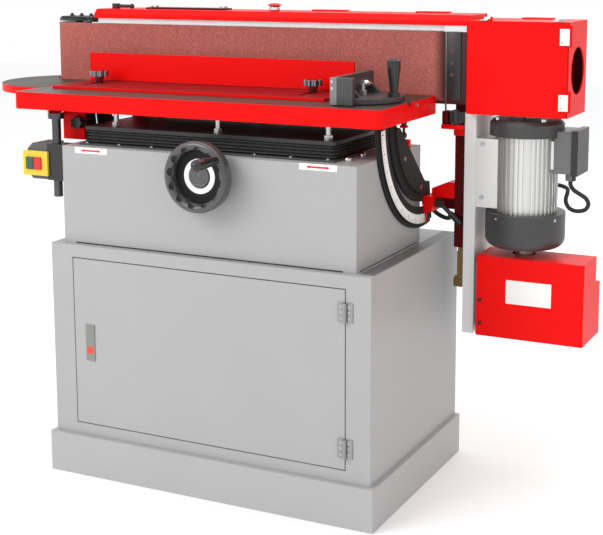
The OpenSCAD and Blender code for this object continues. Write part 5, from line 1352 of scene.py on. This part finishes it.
@dataclass
class HeadParts:
    """Plates, hinges, latches and caps on the sanding head."""

    tracking_plate: Tuple[Box, ...] = (((-383, 150, 1028), (-165, 190, 1032), 1.0),)
    hinge_plates: Tuple[Box, ...] = (((43, 196, 1028), (128, 222, 1031), 0.8),
                                     ((300, 196, 1028), (377, 222, 1031), 0.8),
                                     ((544, 200, 1018), (610, 232, 1021), 0.8))
    strip: Tuple[Box, ...] = (((409.4, 107.6, 846), (441, 110, 993), 0.5),)
    strip_edge: Tuple[Box, ...] = (((406, 106.8, 822), (409.4, 110, 993), 0.4),)
    hole_line: Tuple[float, float] = (420.5, 107.6)
    holes: Tuple[Tuple[float, float], ...] = ((977.0, 5.4), (951.0, 4.6), (925.0, 4.0), (901.0, 4.0))
    hole_t: float = 0.3
    hinge_zs: Tuple[float, float] = (853.0, 988.0)
    leaf: Box = ((661, 86.0, -17), (681, 87.3, 17), 0.5)
    knuckle: Box = ((664, 87.3, -8), (672, 93, 8), 0.4)
    leaf_screws: Tuple[Point, Point] = ((666.0, 86.0, -11.0), (666.0, 86.0, 11.0))
    leaf_head: Head = (2.0, 0.8)
    motor: Tuple[float, float] = (572.0, 168.0)
    cowl_bolts: Tuple[float, float] = (86.0, 598.0)
    cowl_angles: Tuple[float, ...] = (-118, -28, 62, 152)
    flange_bolts: Tuple[float, float] = (70.0, 808.0)
    flange_angles: Tuple[float, ...] = (-135, -45, 45, 135)
    plate_seats: Tuple[Point, ...] = ((-370.0, 158.0, 1032.0), (-370.0, 182.0, 1032.0),
                                      (-178.0, 158.0, 1032.0), (-178.0, 182.0, 1032.0))
    guard_seats: Tuple[Point, ...] = ((494.0, 104.0, 362.0), (494.0, 104.0, 414.0))
    foot_seats: Tuple[Point, ...] = ((488.0, 122.0, 637.0), (488.0, 122.0, 753.0))
    sticker: Tuple[Box, ...] = (((552, 103.7, 412), (652, 104.0, 464), STICKER_EDGE),)
    latch: Tuple[Box, ...] = (((640, 104, 1018), (664, 122, 1020), 0.5),
                              ((644, 107, 1020), (660, 112, 1025), 1.5))
    latch_bar: Point = (642, 116, 1022)
    latch_bar_size: Tuple[float, float] = (2.2, 20.0)
    plate: Tuple[Box, ...] = (((-628, 140, 1003), (-530, 196, 1007.5), 1.2),)
    studs: Tuple[Point, ...] = ((-614.0, 168, 1007.5), (-585.0, 168, 1007.5), (-556.0, 168, 1007.5))
    stud_profile: Profile = ((0, 0), (5.5, 0), (5.5, 3), (3.5, 3.2), (3.5, 6.5), (0, 7))
    cap: Point = (-29, 150, 1040.3)
    cap_profile: Profile = ((0, 0), (15, 0), (16, 2), (13.5, 4.6), (7, 6), (0, 6.4))

    def plates(self) -> List[bpy.types.Object]:
        """Builds the raised plates on the cover and the hood.

        Returns:
            The finished pieces.
        """
        tracking, hinges = Shape().boxes(self.tracking_plate), Shape().boxes(self.hinge_plates)
        return [tracking.piece("tracking_plate", SHADOW_RED_PAINT, "head", "dark_red_paint"),
                hinges.piece("cover_hinge_plates", RED_PAINT, "head", "red_paint")]

    def guard_strip(self) -> List[bpy.types.Object]:
        """Dresses the dark guard strip with its grey edge and its row of holes.

        Returns:
            The finished pieces.
        """
        holes = Shape()
        for z, radius in self.holes:
            holes.rod(radius, self.hole_t, (*self.hole_line, z), FRONT, 24)
        return [Shape().boxes(self.strip).piece("guard_strip", BLACK_PAINT, "head", "black_paint"),
                Shape().boxes(self.strip_edge).piece("guard_strip_edge", HUB_GREY, "head", "bright_steel"),
                holes.piece("guard_strip_holes", HOLE_BROWN, "head", "black_paint")]

    def hood_hinges(self, tree: ScrewTree) -> List[bpy.types.Object]:
        """Builds the pale hinge leaves of the hood's door with their screws.

        Args:
            tree: the tree that sets the screws.

        Returns:
            The finished pieces.
        """
        leaves = Shape()
        seats = []
        for z in self.hinge_zs:
            for (x0, y0, z0), (x1, y1, z1), bevel in (self.leaf, self.knuckle):
                leaves.box((x0, y0, z + z0), (x1, y1, z + z1), bevel)
            seats += [((x, y, z + dz), FRONT) for x, y, dz in self.leaf_screws]
        return [leaves.piece("hood_hinge_leaves", WHITE_STRIP, "hood_door", "white_strip"),
                tree.screws("hood_hinge_screws", seats, self.leaf_head, ROUND_HEAD, BRIGHT_STEEL, "hood_door")]

    def _circle(self, radius: float, z: float, degrees: Iterable[float]) -> List[Tuple[Point, Point]]:
        """Gives places on a circle round the motor.

        Args:
            radius: radius of the circle.
            z: its height.
            degrees: angles of the places.

        Returns:
            Pairs of place and outward direction.
        """
        outward = [(math.cos(math.radians(d)), math.sin(math.radians(d)), 0) for d in degrees]
        return [((self.motor[0] + radius * c, self.motor[1] + radius * s, z), (c, s, flat))
                for c, s, flat in outward]

    def small_screws(self, tree: ScrewTree) -> List[bpy.types.Object]:
        """Sets the screws of the plate, guard, cowl, motor foot and motor flange.

        Args:
            tree: the tree that sets the screws.

        Returns:
            The finished pieces.
        """
        plate = [(spot, UP) for spot in self.plate_seats]
        guard = [(spot, FRONT) for spot in self.guard_seats]
        cowl = self._circle(*self.cowl_bolts, self.cowl_angles)
        flange = [(spot, UP) for spot, _ in self._circle(*self.flange_bolts, self.flange_angles)]
        foot = [(spot, FRONT) for spot in self.foot_seats]
        return [tree.screws("plate_bolts", plate, (5.0, 4.0), HEX_HEAD, BRIGHT_STEEL, "head"),
                tree.screws("foot_bolts", foot, (5.5, 4.0), HEX_HEAD, SHAFT_STEEL, "head"),
                tree.screws("guard_screws", guard, (4.5, 3.0), HEX_HEAD, BLACK_PAINT, "head"),
                tree.screws("cowl_screws", cowl, (3.2, 2.0), ROUND_HEAD, BRIGHT_STEEL, "head"),
                tree.screws("flange_bolts", flange, (6.0, 6.0), HEX_HEAD, BRIGHT_STEEL, "head")]

    def blank_sticker(self) -> bpy.types.Object:
        """Puts a plain white sticker on the gear guard."""
        return Shape().boxes(self.sticker).piece("guard_sticker", WHITE_STRIP, "head", "white_strip")

    def second_latch(self) -> bpy.types.Object:
        """Builds the fixed latch at the hood's outer corner."""
        latch = Shape().boxes(self.latch).rod(*self.latch_bar_size, self.latch_bar, RIGHT, 16)
        return latch.piece("hood_latch_outer", BRIGHT_STEEL, "head", "bright_steel")

    def idler_plate(self) -> List[bpy.types.Object]:
        """Builds the raised plate with its studs on the idler carriage.

        Returns:
            The finished pieces.
        """
        studs = Shape()
        for spot in self.studs:
            studs.turned(self.stud_profile, spot, UP, 20)
        return [Shape().boxes(self.plate).piece("idler_plate", BLACK_PAINT, "carriage", "black_paint"),
                studs.piece("idler_studs", BLACK_PAINT, "carriage", "black_paint")]

    def knob_cap(self) -> bpy.types.Object:
        """Builds the red cap of the cover knob."""
        cap = Shape().turned(self.cap_profile, self.cap, UP, 32)
        return cap.piece("cover_knob_cap", RED_PLASTIC, "cover_knob", "red_plastic")

    def build(self, tree: ScrewTree) -> List[bpy.types.Object]:
        """Builds the head's small parts."""
        return (self.plates() + self.guard_strip() + self.hood_hinges(tree) + self.small_screws(tree)
                + self.idler_plate() + [self.blank_sticker(), self.second_latch(), self.knob_cap()])


class Wardrobe:
    """Gives every carried-over solid its finish."""

    def dress(self) -> int:
        """Puts the finishes on the frame's nodes.

        Returns:
            How many nodes were dressed.
        """
        for name, finish in NODE_FINISH.items():
            slots = frame["nodes"][name].data.materials
            slots.clear()
            slots.append(finish.material())
        return len(NODE_FINISH)


MOTOR_ROUTE: Tuple[Point, ...] = (
    (672, 160, 681), (672, 160, 672), (680, 156, 662), (694, 152, 655), (708, 150, 647), (714, 150, 635),
    (708, 150, 623), (694, 152, 618), (680, 156, 618), (668, 164, 622), (659, 176, 630), (655, 190, 638),
    (653, 208, 645), (648, 226, 650), (636, 242, 652), (618, 253, 653), (596, 261, 652), (572, 264, 651),
    (546, 261, 648), (522, 255, 644), (504, 244, 636), (494, 232, 627), (484, 222, 620), (474.4, 222, 620))
TILT_ROUTE: Tuple[Point, ...] = (
    (318, 114.5, 640), (318, 130, 640), (322, 150, 632), (332, 166, 616), (346, 176, 598), (360, 179, 584),
    (376, 177, 576), (392, 171, 574), (402, 163, 578), (410, 156, 583), (419.6, 156, 583))


def main() -> None:
    """Builds the machine's pieces in order and reports them."""
    logging.basicConfig(level=logging.INFO, format="%(name)s: %(message)s")
    studio = Studio()
    studio.camera()
    made = [Cable("motor_lead", "motor_cable", MOTOR_ROUTE, 4.5).build("head"),
            Cable("column_lead", "tilt_cable", TILT_ROUTE, 5.0).build("base", "tilt_frame")]
    studio.lights()
    studio.floor()
    LOG.info("dressed %d solids", Wardrobe().dress())
    screws, ticks = ScrewTree(), TickTree()
    made.append(Bellows().build())
    made += Stand().build(screws)
    made += Wheel().build()
    made += TiltParts().build(ticks)
    made += TableParts().build(screws)
    made += HeadParts().build(screws)
    for piece in made:
        LOG.info("%s: %d faces", piece.name, len(piece.data.polygons))


if __name__ == "__main__":
    main()
